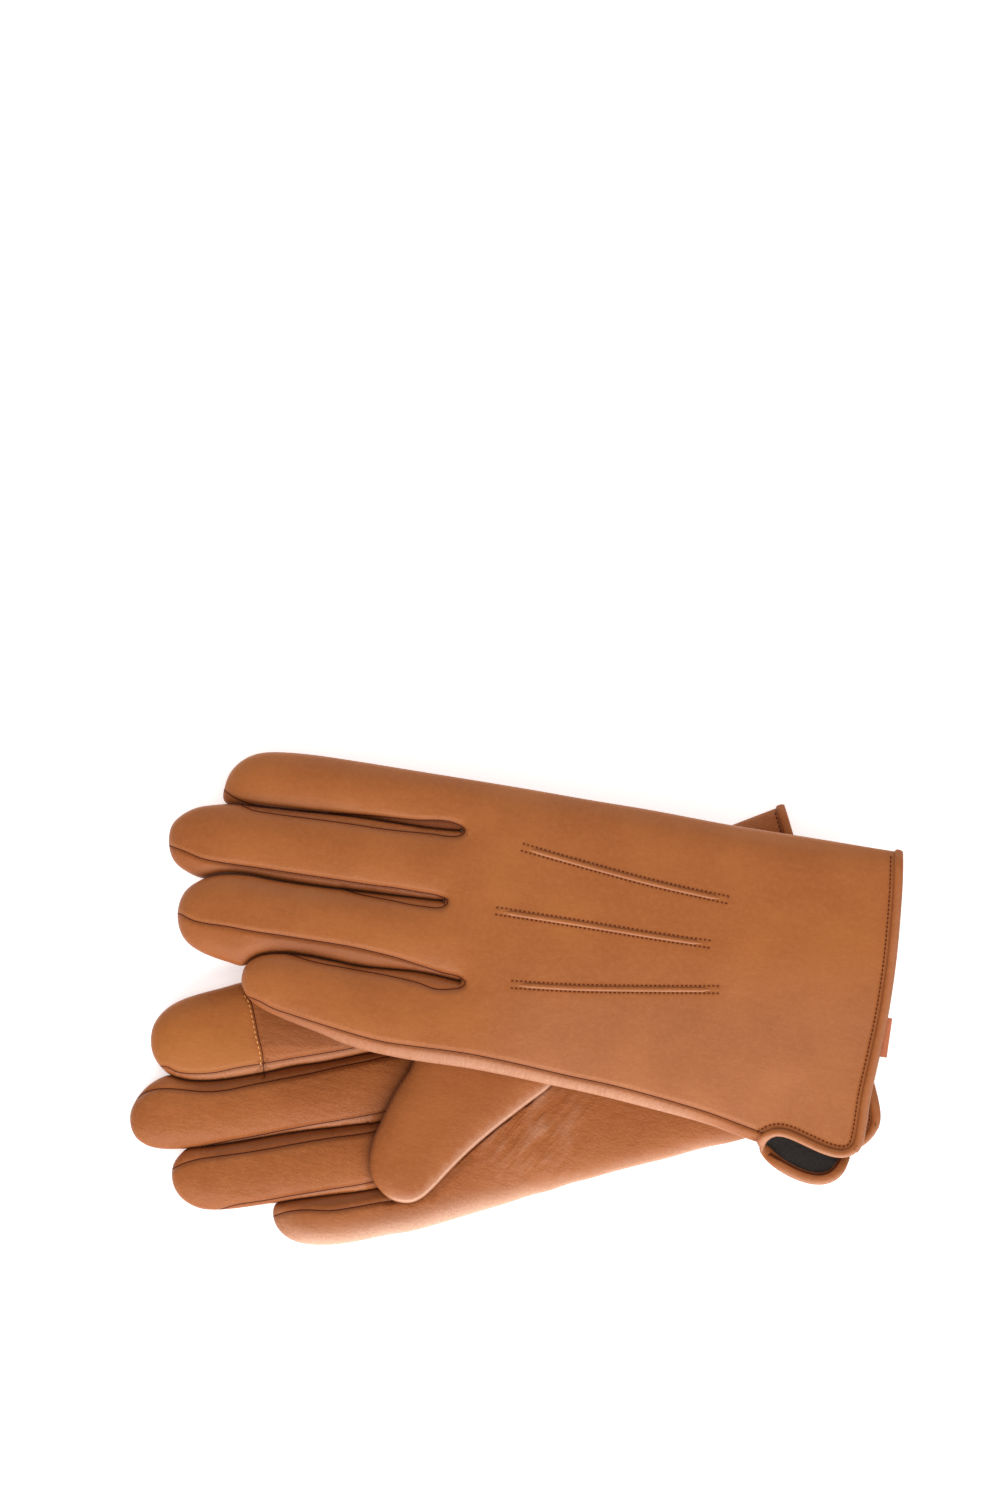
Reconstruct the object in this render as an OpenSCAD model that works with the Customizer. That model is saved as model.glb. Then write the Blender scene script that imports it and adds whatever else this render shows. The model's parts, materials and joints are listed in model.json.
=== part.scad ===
// A pair of lined leather touchscreen gloves, lying one across the other.
// The right glove lies palm up on the table. The left glove lies back up on top of it.
// Each glove is modelled in its own hand frame, with the palm at z = 0 and the back at
// z = hand_h. The cuff hem is at x = 0 and the fingers point to -X, index side to +Y.
// Plan points are written as [distance from the hem, distance across towards the index side].

/* [Glove size] */
// Length from the cuff hem to the middle fingertip
glove_l = 241; // [225:1:255]
// Thickness of a lined glove lying flat
hand_h = 11; // [10.6:0.1:11.4]
// Thickness of the folded thumb
thumb_h = 8; // [7.6:0.1:8]

/* [Materials] */
// Thickness of the leather
leather = 0.9; // [0.7:0.1:1]
// Thickness of the knitted lining
lining = 0.9; // [0.7:0.1:0.9]
// Width of the binding round the cuff
bind_w = 3; // [2.5:0.5:4]

/* [Details] */
// Length of the slit in the cuff, on the little-finger side
vent_l = 30; // [28:1:31]
// How far the points stand proud of the left glove's back
point_h = 0.7; // [0.3:0.1:1]
// Width of each point
point_w = 1.5; // [1:0.1:2]
// Length of the conductive leather on the left index fingertip
pad_l = 33; // [24:1:40]
// Length of the loop label outside the hem
tag_out = 4; // [3:0.5:5]

/* [Hidden] */
$fn = 48;

k = glove_l / 241;                // every plan dimension follows the glove's length
skin = leather + lining;
big = 400;
thumb_gap = 0.3;                  // between the folded thumb and its palm
stack_gap = 1.7;                  // room for the little finger to sag over the right thumb
left_z = hand_h + thumb_gap + thumb_h + stack_gap;

// Each finger: base centre, tip, width at the base, width at the tip, length past its hinge.
LEFT_FINGERS = [
    [[130, 44.4], [225, 44.3], 16.0, 17.4, 78],
    [[130, 24.2], [241, 22.9], 23.3, 23.6, 92],
    [[130, 0.3], [234, -1.3], 23.2, 23.4, 85],
    [[120, -28.1], [210, -24.4], 31.4, 21.8, 69],
];
RIGHT_FINGERS = [
    [[130, 24.8], [224, 38.7], 28.8, 27.6, 28],
    [[130, -1.2], [238.2, 14.3], 21.2, 21.4, 81],
    [[130, -21.5], [230.9, -9.4], 17.2, 21.0, 65],
    [[124, -39.8], [204, -33.4], 17.2, 19.4, 35],
];
DROOP = [13, 11, 9, 5.5];         // the left fingers sag over the right glove

// Each hand after its hem corner: index side, crotches between the fingers, little-finger side.
LEFT_HEM = [50.2, -49.4];
LEFT_HAND = [
    [130, 52.4], [143.2, 36.2], [145.8, 12.3], [136.7, -12],
    [122, -43.6], [105, -45.6], [31, -50],
];
RIGHT_HEM = [52.2, -49.5];
RIGHT_HAND = [
    [130, 39.6], [143, 11.8], [146, -10.1], [139, -29.5],
    [126, -48.3], [31, -49.5],
];

// Each thumb: the outline without its round tip, starting and ending on the fold,
// then the tip's centre and radius, and the centre of the hole through the palm.
LEFT_THUMB = [
    [[50, 46], [100, 48], [132.5, 46.3], [129.8, 20.4], [104, 18], [68, 26]],
    [131.2, 33.3], 13, [92, 37],
];
RIGHT_THUMB = [
    [[70, 20], [122, 41], [143.6, 7.4], [162.5, -15.8], [143.7, -33.9], [101.4, -15.6]],
    [153.1, -24.9], 13, [104, 14],
];

left_at = [120.5, -0.7];          // hem centre of the left glove
left_turn = -8.1;
right_at = [104.4, 14.4];         // hem centre of the right glove
right_turn = 17;
left_hinge_gap = 2.8;             // a sagging finger swings back under its hinge
right_hinge_gap = 0.4;

POINTS = [                        // the decorative points, from the fingers towards the cuff
    [[124.3, 33.3], [54.7, 26.1]],
    [[129.9, 11.7], [59, 11.1]],
    [[121.7, -13], [53.5, -3.9]],
];
lip_at = [13, -44];               // beside the slit the palm curls out in an arc
lip_r = 19.5;
hole_r = 8;
label_at = -11.9;
label_w = 13;
label_in = 6;
label_t = 0.5;
label_gap = 0.6;

leather_colour = "peru";
pad_colour = "burlywood";
trim_colour = "sienna";
lining_colour = "dimgray";
label_colour = "coral";

// ---- points and outlines ------------------------------------------------------------

function plan(p) = [-p[0], p[1]] * k;
function plans(list) = [for (p = list) plan(p)];
function unit(v) = v / norm(v);
function normal(a, b) = let (u = unit(b - a)) [-u[1], u[0]];
function moved_corner(a, b, c, by) =
    let (n = normal(a, b), m = normal(b, c)) b + by * (n + m) / (1 + n * m);
// Moves every edge of a counter-clockwise outline inwards by the same amount.
function inset_points(p, by) =
    let (n = len(p))
    [for (i = [0:n - 1]) moved_corner(p[(i + n - 1) % n], p[i], p[(i + 1) % n], by)];

function fingers(side) = side == "left" ? LEFT_FINGERS : RIGHT_FINGERS;
function thumb(side) = side == "left" ? LEFT_THUMB : RIGHT_THUMB;
function hem(side) = side == "left" ? LEFT_HEM : RIGHT_HEM;
function hand_points(side) = side == "left" ? LEFT_HAND : RIGHT_HAND;
function hinge_gap(side) = side == "left" ? left_hinge_gap : right_hinge_gap;
function run(f) = plan(f[1]) - plan(f[0]);
function hinge_x(f) = f[4] * k - norm(run(f));

module beyond(x) {
    translate([x - big, -big / 2]) square(big);
}

module before(x) {
    translate([x, -big / 2]) square(big);
}

module slab(low, high) {
    translate([0, 0, low]) linear_extrude(high - low) children();
}

// A whole finger in its own frame, its base centre at the origin and its tip towards -X.
module finger_plan(f, inset) {
    base = f[2] * k / 2 - inset;
    tip = f[3] * k / 2 - inset;
    centre = f[3] * k / 2 - norm(run(f));
    polygon([[0, base], [centre, tip], [centre, -tip], [0, -base]]);
    translate([centre, 0]) circle(tip);
}

module finger_frame(f) {
    turn = atan2(-run(f)[1], -run(f)[0]);
    translate(plan(f[0])) rotate(turn) children();
}

// The part of a finger past its hinge, in the finger's own frame.
module free_plan(side, f, inset) {
    intersection() {
        finger_plan(f, inset);
        beyond(hinge_x(f) - hinge_gap(side));
    }
}

// The hand with the finger stubs up to the hinges. An inset plan runs out through the hem.
module hand_plan(side, inset) {
    mouth = inset > 0 ? -5 : 0;
    corners = [[mouth, hem(side)[0]], each hand_points(side), [mouth, hem(side)[1]]];
    polygon(inset_points(plans(corners), inset));
    for (f = fingers(side)) finger_frame(f) intersection() {
        finger_plan(f, inset);
        before(hinge_x(f));
    }
}

module past_hem() {
    beyond(-bind_w);
}

// The little-finger side of the cuff, as far as the slit and its binding reach.
module slit_zone(length) {
    translate([-length, -big / 2]) square([big, big / 2 - 40 * k]);
}

module lip_plan(inset) {
    intersection() {
        translate(plan(lip_at)) circle(lip_r * k - inset);
        slit_zone(vent_l + bind_w);
        beyond(0);
    }
}

// The palm side of the cuff carries the lip.
module palm_plan(side, inset) {
    hand_plan(side, inset);
    lip_plan(inset);
}

module binding_strip(side) {
    intersection() {
        difference() {
            hand_plan(side, 0);
            hand_plan(side, bind_w);
        }
        slit_zone(vent_l + bind_w);
        past_hem();
    }
}

module lip_strip(side) {
    intersection() {
        difference() {
            lip_plan(0);
            lip_plan(bind_w);
            hand_plan(side, bind_w);
        }
        past_hem();
    }
}

module thumb_plan(side, inset) {
    data = thumb(side);
    polygon(inset_points(plans(data[0]), inset));
    translate(plan(data[1])) circle(data[2] * k - inset);
}

module thumb_hole(side) {
    translate(plan(thumb(side)[3])) circle(hole_r * k);
}

module points_plan() {
    for (p = POINTS) {
        a = plan(p[0]);
        b = plan(p[1]);
        translate(a) rotate(atan2(b[1] - a[1], b[0] - a[0])) {
            translate([0, -point_w / 2]) square([norm(b - a), point_w]);
            circle(point_w / 2);
            translate([norm(b - a), 0]) circle(point_w / 2);
        }
    }
}

// ---- frames ---------------------------------------------------------------------------

// The right glove is the left glove's mirror image, turned palm up.
module laid(side) {
    if (side == "left") {
        translate([left_at[0] * k, left_at[1] * k, left_z]) rotate(left_turn) children();
    } else {
        translate([right_at[0] * k, right_at[1] * k, hand_h]) rotate(right_turn) mirror([0, 0, 1]) children();
    }
}

module finger_laid(side, i) {
    f = fingers(side)[i];
    sag = side == "left" ? DROOP[i] : 0;
    laid(side) finger_frame(f)
        translate([hinge_x(f), 0, hand_h]) rotate([0, -sag, 0]) translate([-hinge_x(f), 0, -hand_h])
        children();
}

module thumb_laid(side) {
    laid(side) translate([0, 0, -thumb_gap - thumb_h]) children();
}

// ---- the hand -------------------------------------------------------------------------

module back_panel(side) {
    color(leather_colour) laid(side) slab(hand_h - leather, hand_h) difference() {
        intersection() {
            hand_plan(side, 0);
            past_hem();
        }
        binding_strip(side);
        points_plan();
    }
}

module palm_panel(side) {
    color(leather_colour) laid(side) slab(0, leather) difference() {
        intersection() {
            palm_plan(side, 0);
            past_hem();
        }
        lip_strip(side);
        post_plan(side);
        thumb_hole(side);
    }
}

// The closed end of the slit, where its binding runs from the back to the palm.
module post_plan(side) {
    intersection() {
        difference() {
            hand_plan(side, 0);
            hand_plan(side, leather);
        }
        slit_zone(vent_l + bind_w);
        beyond(-vent_l);
    }
}

module hand_sides(side) {
    color(leather_colour) laid(side) slab(leather, hand_h - leather) difference() {
        intersection() {
            hand_plan(side, 0);
            past_hem();
        }
        hand_plan(side, leather);
        slit_zone(vent_l + bind_w);
    }
}

module hand_lining(side) {
    color(lining_colour) laid(side) difference() {
        union() {
            slab(leather, hand_h - leather) intersection() {
                hand_plan(side, leather);
                past_hem();
            }
            slab(leather, skin) intersection() {
                lip_plan(leather);
                past_hem();
            }
        }
        slab(skin, hand_h - skin) {
            hand_plan(side, skin);
            slit_zone(vent_l);
        }
        slab(0, hand_h) post_plan(side);
        slab(0, hand_h / 2) thumb_hole(side);
    }
}

module cuff_binding(side) {
    color(trim_colour) laid(side) difference() {
        slab(0, hand_h) difference() {
            palm_plan(side, 0);
            past_hem();
        }
        slab(skin, hand_h - skin) {
            hand_plan(side, skin);
            slit_zone(vent_l);
        }
        slab(skin, hand_h + 1) difference() {
            lip_plan(-1);
            hand_plan(side, 0);
        }
    }
}

module vent_binding(side) {
    color(trim_colour) laid(side) {
        slab(hand_h - leather, hand_h) binding_strip(side);
        slab(0, leather) lip_strip(side);
        slab(0, hand_h - leather) post_plan(side);
    }
}

module back_points(side) {
    proud = side == "left" ? point_h : 0;
    color(trim_colour) laid(side) slab(hand_h - leather, hand_h + proud) points_plan();
}

module label() {
    loop_h = 2 * label_t + label_gap;
    color(label_colour) laid("left")
        translate([-label_in, label_at * k + label_w / 2, hand_h - skin - loop_h]) rotate([90, 0, 0])
        linear_extrude(label_w) difference() {
            square([label_in + tag_out, loop_h]);
            translate([-1, label_t]) square([label_in + tag_out - label_t + 1, label_gap]);
        }
}

// ---- fingers and thumbs ---------------------------------------------------------------

module finger_back(side, i) {
    color(leather_colour) finger_laid(side, i)
        slab(hand_h - leather, hand_h) free_plan(side, fingers(side)[i], 0);
}

module finger_palm(side, i, pad) {
    f = fingers(side)[i];
    color(leather_colour) finger_laid(side, i) slab(0, leather) difference() {
        free_plan(side, f, 0);
        if (pad > 0) beyond(pad * k - norm(run(f)));
    }
}

module touch_pad(side, pad) {
    f = fingers(side)[0];
    color(pad_colour) finger_laid(side, 0) slab(0, leather) intersection() {
        free_plan(side, f, 0);
        beyond(pad * k - norm(run(f)));
    }
}

module finger_forks(side, i) {
    f = fingers(side)[i];
    color(trim_colour) finger_laid(side, i) slab(leather, hand_h - leather) difference() {
        free_plan(side, f, 0);
        free_plan(side, f, leather);
    }
}

module finger_lining(side, i) {
    f = fingers(side)[i];
    color(lining_colour) finger_laid(side, i) difference() {
        slab(leather, hand_h - leather) free_plan(side, f, leather);
        slab(skin, hand_h - skin) free_plan(side, f, skin);
    }
}

// The thumb's front faces away from the palm when the thumb is folded across it.
module thumb_front(side) {
    color(leather_colour) thumb_laid(side) slab(0, leather) thumb_plan(side, 0);
}

module thumb_back(side) {
    color(leather_colour) thumb_laid(side) slab(thumb_h - leather, thumb_h) difference() {
        thumb_plan(side, 0);
        thumb_hole(side);
    }
}

module thumb_sides(side) {
    color(trim_colour) thumb_laid(side) slab(leather, thumb_h - leather) difference() {
        thumb_plan(side, 0);
        thumb_plan(side, leather);
    }
}

module thumb_lining(side) {
    color(lining_colour) thumb_laid(side) difference() {
        slab(leather, thumb_h - leather) thumb_plan(side, leather);
        slab(skin, thumb_h - skin) thumb_plan(side, skin);
        slab(thumb_h / 2, thumb_h) thumb_hole(side);
    }
}

// ---- one module per sub-part ------------------------------------------------------------

module left_back_panel() { back_panel("left"); }
module left_palm_panel() { palm_panel("left"); }
module left_hand_sides() { hand_sides("left"); }
module left_hand_lining() { hand_lining("left"); }
module left_cuff_binding() { cuff_binding("left"); }
module left_vent_binding() { vent_binding("left"); }
module left_back_points() { back_points("left"); }
module left_label() { label(); }
module left_index_back() { finger_back("left", 0); }
module left_index_palm() { finger_palm("left", 0, pad_l); }
module left_index_touch_pad() { touch_pad("left", pad_l); }
module left_index_forks() { finger_forks("left", 0); }
module left_index_lining() { finger_lining("left", 0); }
module left_middle_back() { finger_back("left", 1); }
module left_middle_palm() { finger_palm("left", 1, 0); }
module left_middle_forks() { finger_forks("left", 1); }
module left_middle_lining() { finger_lining("left", 1); }
module left_ring_back() { finger_back("left", 2); }
module left_ring_palm() { finger_palm("left", 2, 0); }
module left_ring_forks() { finger_forks("left", 2); }
module left_ring_lining() { finger_lining("left", 2); }
module left_little_back() { finger_back("left", 3); }
module left_little_palm() { finger_palm("left", 3, 0); }
module left_little_forks() { finger_forks("left", 3); }
module left_little_lining() { finger_lining("left", 3); }
module left_thumb_back() { thumb_back("left"); }
module left_thumb_front() { thumb_front("left"); }
module left_thumb_sides() { thumb_sides("left"); }
module left_thumb_lining() { thumb_lining("left"); }
module right_back_panel() { back_panel("right"); }
module right_palm_panel() { palm_panel("right"); }
module right_hand_sides() { hand_sides("right"); }
module right_hand_lining() { hand_lining("right"); }
module right_cuff_binding() { cuff_binding("right"); }
module right_vent_binding() { vent_binding("right"); }
module right_back_points() { back_points("right"); }
module right_index_back() { finger_back("right", 0); }
module right_index_touch_pad() { touch_pad("right", RIGHT_FINGERS[0][4]); }
module right_index_forks() { finger_forks("right", 0); }
module right_index_lining() { finger_lining("right", 0); }
module right_middle_back() { finger_back("right", 1); }
module right_middle_palm() { finger_palm("right", 1, 0); }
module right_middle_forks() { finger_forks("right", 1); }
module right_middle_lining() { finger_lining("right", 1); }
module right_ring_back() { finger_back("right", 2); }
module right_ring_palm() { finger_palm("right", 2, 0); }
module right_ring_forks() { finger_forks("right", 2); }
module right_ring_lining() { finger_lining("right", 2); }
module right_little_back() { finger_back("right", 3); }
module right_little_palm() { finger_palm("right", 3, 0); }
module right_little_forks() { finger_forks("right", 3); }
module right_little_lining() { finger_lining("right", 3); }
module right_thumb_back() { thumb_back("right"); }
module right_thumb_front() { thumb_front("right"); }
module right_thumb_sides() { thumb_sides("right"); }
module right_thumb_lining() { thumb_lining("right"); }

left_back_panel();
left_palm_panel();
left_hand_sides();
left_hand_lining();
left_cuff_binding();
left_vent_binding();
left_back_points();
left_label();
left_index_back();
left_index_palm();
left_index_touch_pad();
left_index_forks();
left_index_lining();
left_middle_back();
left_middle_palm();
left_middle_forks();
left_middle_lining();
left_ring_back();
left_ring_palm();
left_ring_forks();
left_ring_lining();
left_little_back();
left_little_palm();
left_little_forks();
left_little_lining();
left_thumb_back();
left_thumb_front();
left_thumb_sides();
left_thumb_lining();
right_back_panel();
right_palm_panel();
right_hand_sides();
right_hand_lining();
right_cuff_binding();
right_vent_binding();
right_back_points();
right_index_back();
right_index_touch_pad();
right_index_forks();
right_index_lining();
right_middle_back();
right_middle_palm();
right_middle_forks();
right_middle_lining();
right_ring_back();
right_ring_palm();
right_ring_forks();
right_ring_lining();
right_little_back();
right_little_palm();
right_little_forks();
right_little_lining();
right_thumb_back();
right_thumb_front();
right_thumb_sides();
right_thumb_lining();
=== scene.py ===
import json
import math

import bpy
import numpy as np
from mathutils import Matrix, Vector
from mathutils.bvhtree import BVHTree
from mathutils.geometry import delaunay_2d_cdt
from mathutils.kdtree import KDTree


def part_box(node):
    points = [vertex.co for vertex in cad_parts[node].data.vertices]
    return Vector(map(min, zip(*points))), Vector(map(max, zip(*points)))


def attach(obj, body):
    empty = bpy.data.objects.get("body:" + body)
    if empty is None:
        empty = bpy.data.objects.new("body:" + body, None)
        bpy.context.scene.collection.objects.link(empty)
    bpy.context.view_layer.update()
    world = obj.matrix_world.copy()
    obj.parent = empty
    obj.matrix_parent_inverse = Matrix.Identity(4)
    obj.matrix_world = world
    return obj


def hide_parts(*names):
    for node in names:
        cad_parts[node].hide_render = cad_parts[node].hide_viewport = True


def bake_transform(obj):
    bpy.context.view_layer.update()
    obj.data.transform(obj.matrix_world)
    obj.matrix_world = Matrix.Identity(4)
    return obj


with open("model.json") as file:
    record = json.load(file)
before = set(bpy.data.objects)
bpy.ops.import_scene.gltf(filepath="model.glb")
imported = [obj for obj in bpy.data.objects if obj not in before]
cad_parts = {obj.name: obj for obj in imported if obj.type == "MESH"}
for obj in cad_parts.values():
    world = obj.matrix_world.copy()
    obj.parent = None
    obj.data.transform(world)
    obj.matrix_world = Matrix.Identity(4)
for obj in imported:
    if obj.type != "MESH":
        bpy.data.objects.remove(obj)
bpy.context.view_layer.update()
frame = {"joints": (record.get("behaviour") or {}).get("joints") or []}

MM = 0.001
SIDES = ("left", "right")
FINGERS = ("index", "middle", "ring", "little")


# ---- heights and hinges from the frame, in mm ---------------------------------------

def box_mm(node):
    low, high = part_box(node)
    return np.array(low) / MM, np.array(high) / MM


def z_range(*nodes):
    """The lowest and the highest point of some CAD nodes."""
    boxes = [box_mm(n) for n in nodes]
    return min(low[2] for low, _ in boxes), max(high[2] for _, high in boxes)


HAND_Z = {s: z_range(f"{s}_palm_panel", f"{s}_back_panel") for s in SIDES}
THUMB_Z = {s: z_range(f"{s}_thumb_back", f"{s}_thumb_front") for s in SIDES}
JOINTS = {j["name"]: j for j in frame["joints"]}


def hinge(side, finger):
    """The hinge's point, and the direction in plan from it towards the fingertip."""
    j = JOINTS[f"{side}_{finger}_bend"]
    a = j["axis"]
    out = np.array([-abs(a[1]), a[0] * np.sign(a[1])])
    return np.array(j["pos_m"][:2]) / MM, out / np.linalg.norm(out)


# ---- plan curves, in mm in the frame: the fingers point to -x --------------------------
# edge_hi and edge_lo are the index and little-finger edges, tips the two middle fingertips,
# top_hem and low_hem the free edges of the upper and the lower sheet, and splits the lines
# where the fingers' pieces end.

LEFT = dict(
    edge_hi=[(127.1, 48.9), (117.5, 50.4), (97.6, 53.7), (71, 57.9), (44.4, 62.9), (24.4, 66.2),
             (4.5, 69.7), (-15.5, 73.0), (-35.4, 76.2), (-55.3, 79.4), (-68.6, 81.3), (-79, 82.1),
             (-83.5, 82.0), (-87.9, 81.0), (-91.7, 78.8), (-94.3, 76.2), (-95.9, 73.4),
             (-96.9, 69.9), (-97.5, 67.0), (-97.2, 65.4)],
    slits=[[(-96.5, 64.75), (-91.1, 64.35), (-84.1, 63.5), (-77.7, 62.85), (-68.2, 61.85),
            (-58.7, 60.95), (-49.1, 59.75), (-39.6, 58.3), (-30, 57.0), (-22, 56.2), (-18.2, 56.0)],
           [(-103.8, 39.8), (-100, 40.9), (-94.9, 41.4), (-88.6, 41.0), (-80.9, 39.5),
            (-68.2, 37.6), (-55.5, 36.1), (-42.8, 34.7), (-32.1, 33.5), (-24.1, 32.6)],
           [(-90.1, 10.6), (-87.9, 12.8), (-84.7, 14.3), (-80.9, 14.9), (-75.8, 14.9),
            (-70.7, 14.4), (-61.8, 12.8), (-52.3, 10.9), (-42.8, 10.0), (-32.1, 9.0), (-18.7, 6.0)]],
    tips=[[(-101.3, 64.4), (-106.4, 63.5), (-110.2, 61.6), (-112.7, 59.7), (-114.3, 57.8),
           (-115.1, 54.3), (-115.2, 51.7), (-114.5, 47.9), (-113.0, 45.1), (-110.2, 42.8),
           (-106.4, 40.8)],
          [(-107.6, 37.8), (-110.2, 35.2), (-111.8, 31.4), (-112.3, 28.0), (-111.6, 23.1),
           (-110.2, 20.0), (-107.6, 17.4), (-104.5, 15.5), (-100, 13.6), (-94.9, 12.0)]],
    edge_lo=[(-91.1, 7.5), (-91.2, 5), (-90.8, 4.1), (-89.8, 1.5), (-87.9, -0.7), (-84.1, -3.4),
             (-77.7, -6.4), (-71.4, -9.0), (-65, -11.5), (-58.7, -14.4), (-52.3, -16.6),
             (-48.7, -17.5), (-36.6, -20.0), (-16.5, -22.9), (-0.4, -26), (10.1, -28.3),
             (23.8, -31.2), (48, -37.3), (64.1, -41.8), (74.3, -45.6), (80.2, -47.6)],
    top_hem=[(81.6, -46.6), (83.4, -44.8), (86, -43.9), (89.5, -44.5), (95.2, -47), (102.6, -50.4),
             (107, -51.6), (110, -51.5), (112.3, -50.2), (113.7, -47.5), (114.9, -41), (116.2, -32),
             (118.0, -24), (120.2, -14), (122.3, -3.7), (124.6, 12), (125.8, 24), (126.8, 38)],
    low_hem=[(81.9, -49.2), (84.2, -52.2), (88, -55.2), (93, -57.9), (98, -59.6), (102.5, -59.8),
             (106.2, -58), (108.4, -54.5), (110.0, -50), (112.1, -43), (114.5, -34), (117.1, -24),
             (119.5, -14), (121.6, -3.7), (124.0, 12), (125.4, 24), (126.6, 38)],
    seams=[[(-96.9, 69.4), (-93.6, 67.0), (-90.5, 65.6), (-86.0, 64.4), (-77.7, 63.4),
            (-68.2, 62.4), (-58.7, 61.6), (-48.7, 61.0), (-40.6, 60.2), (-32.6, 59.5),
            (-25.3, 59.4), (-20.5, 58.5), (-17.0, 56.3), (-18.1, 54.6), (-21.3, 54.0),
            (-28.6, 54.9), (-42.8, 56.3), (-55.5, 58.2), (-68.2, 59.9), (-80.9, 61.6),
            (-87.3, 62.7), (-91.1, 64.2)],
           [(-115.2, 50.9), (-113.2, 50.3), (-109.5, 48.9), (-104.5, 46.8), (-98.1, 45.4),
            (-87.3, 43.8), (-74.6, 41.9), (-61.8, 40.0), (-48.7, 38.0), (-40.6, 37.0),
            (-32.6, 35.6), (-26.1, 34.4), (-22.7, 32.7), (-24.6, 30.6), (-32.6, 31.0),
            (-42.8, 33.0), (-52.3, 34.8), (-57, 36.2)],
           [(-112.3, 28.4), (-110.8, 28.0), (-107.6, 26.3), (-103.2, 25.2), (-96.2, 24.2),
            (-87.3, 22.5), (-77.7, 21.1), (-68.2, 19.6), (-55.5, 17.5), (-48.7, 16.0),
            (-40.6, 14.0), (-32.6, 11.4), (-24.5, 8.8), (-18.9, 7.4), (-17.0, 5.6),
            (-18.3, 4.0), (-21.3, 3.4), (-26.9, 3.4), (-32.6, 5.4), (-42.8, 7.8), (-55.5, 10.1),
            (-68.2, 12.6), (-75.5, 14.9)],
           [(-89.3, 0.9), (-85.4, -0.6), (-80.9, -3.0), (-74.6, -5.2), (-68.2, -7.3),
            (-61.8, -9.3), (-55.5, -11.2), (-49.1, -13.0), (-42.8, -14.4), (-32.6, -15.8),
            (-16.5, -18.0), (-0.4, -21.3), (15.8, -25.1), (31.9, -28.6), (48.0, -32.9),
            (64.1, -37.8), (74.3, -41.6), (81.2, -44.2), (83.2, -44.9)]],
    splits=[[(-17.4, 73.6), (-18.2, 56.0)], [(-18.2, 56.0), (-24.1, 32.6)],
            [(-24.1, 32.6), (-18.7, 6.0)], [(-18.7, 6.0), (-25.8, -21.8)]],
)

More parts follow.
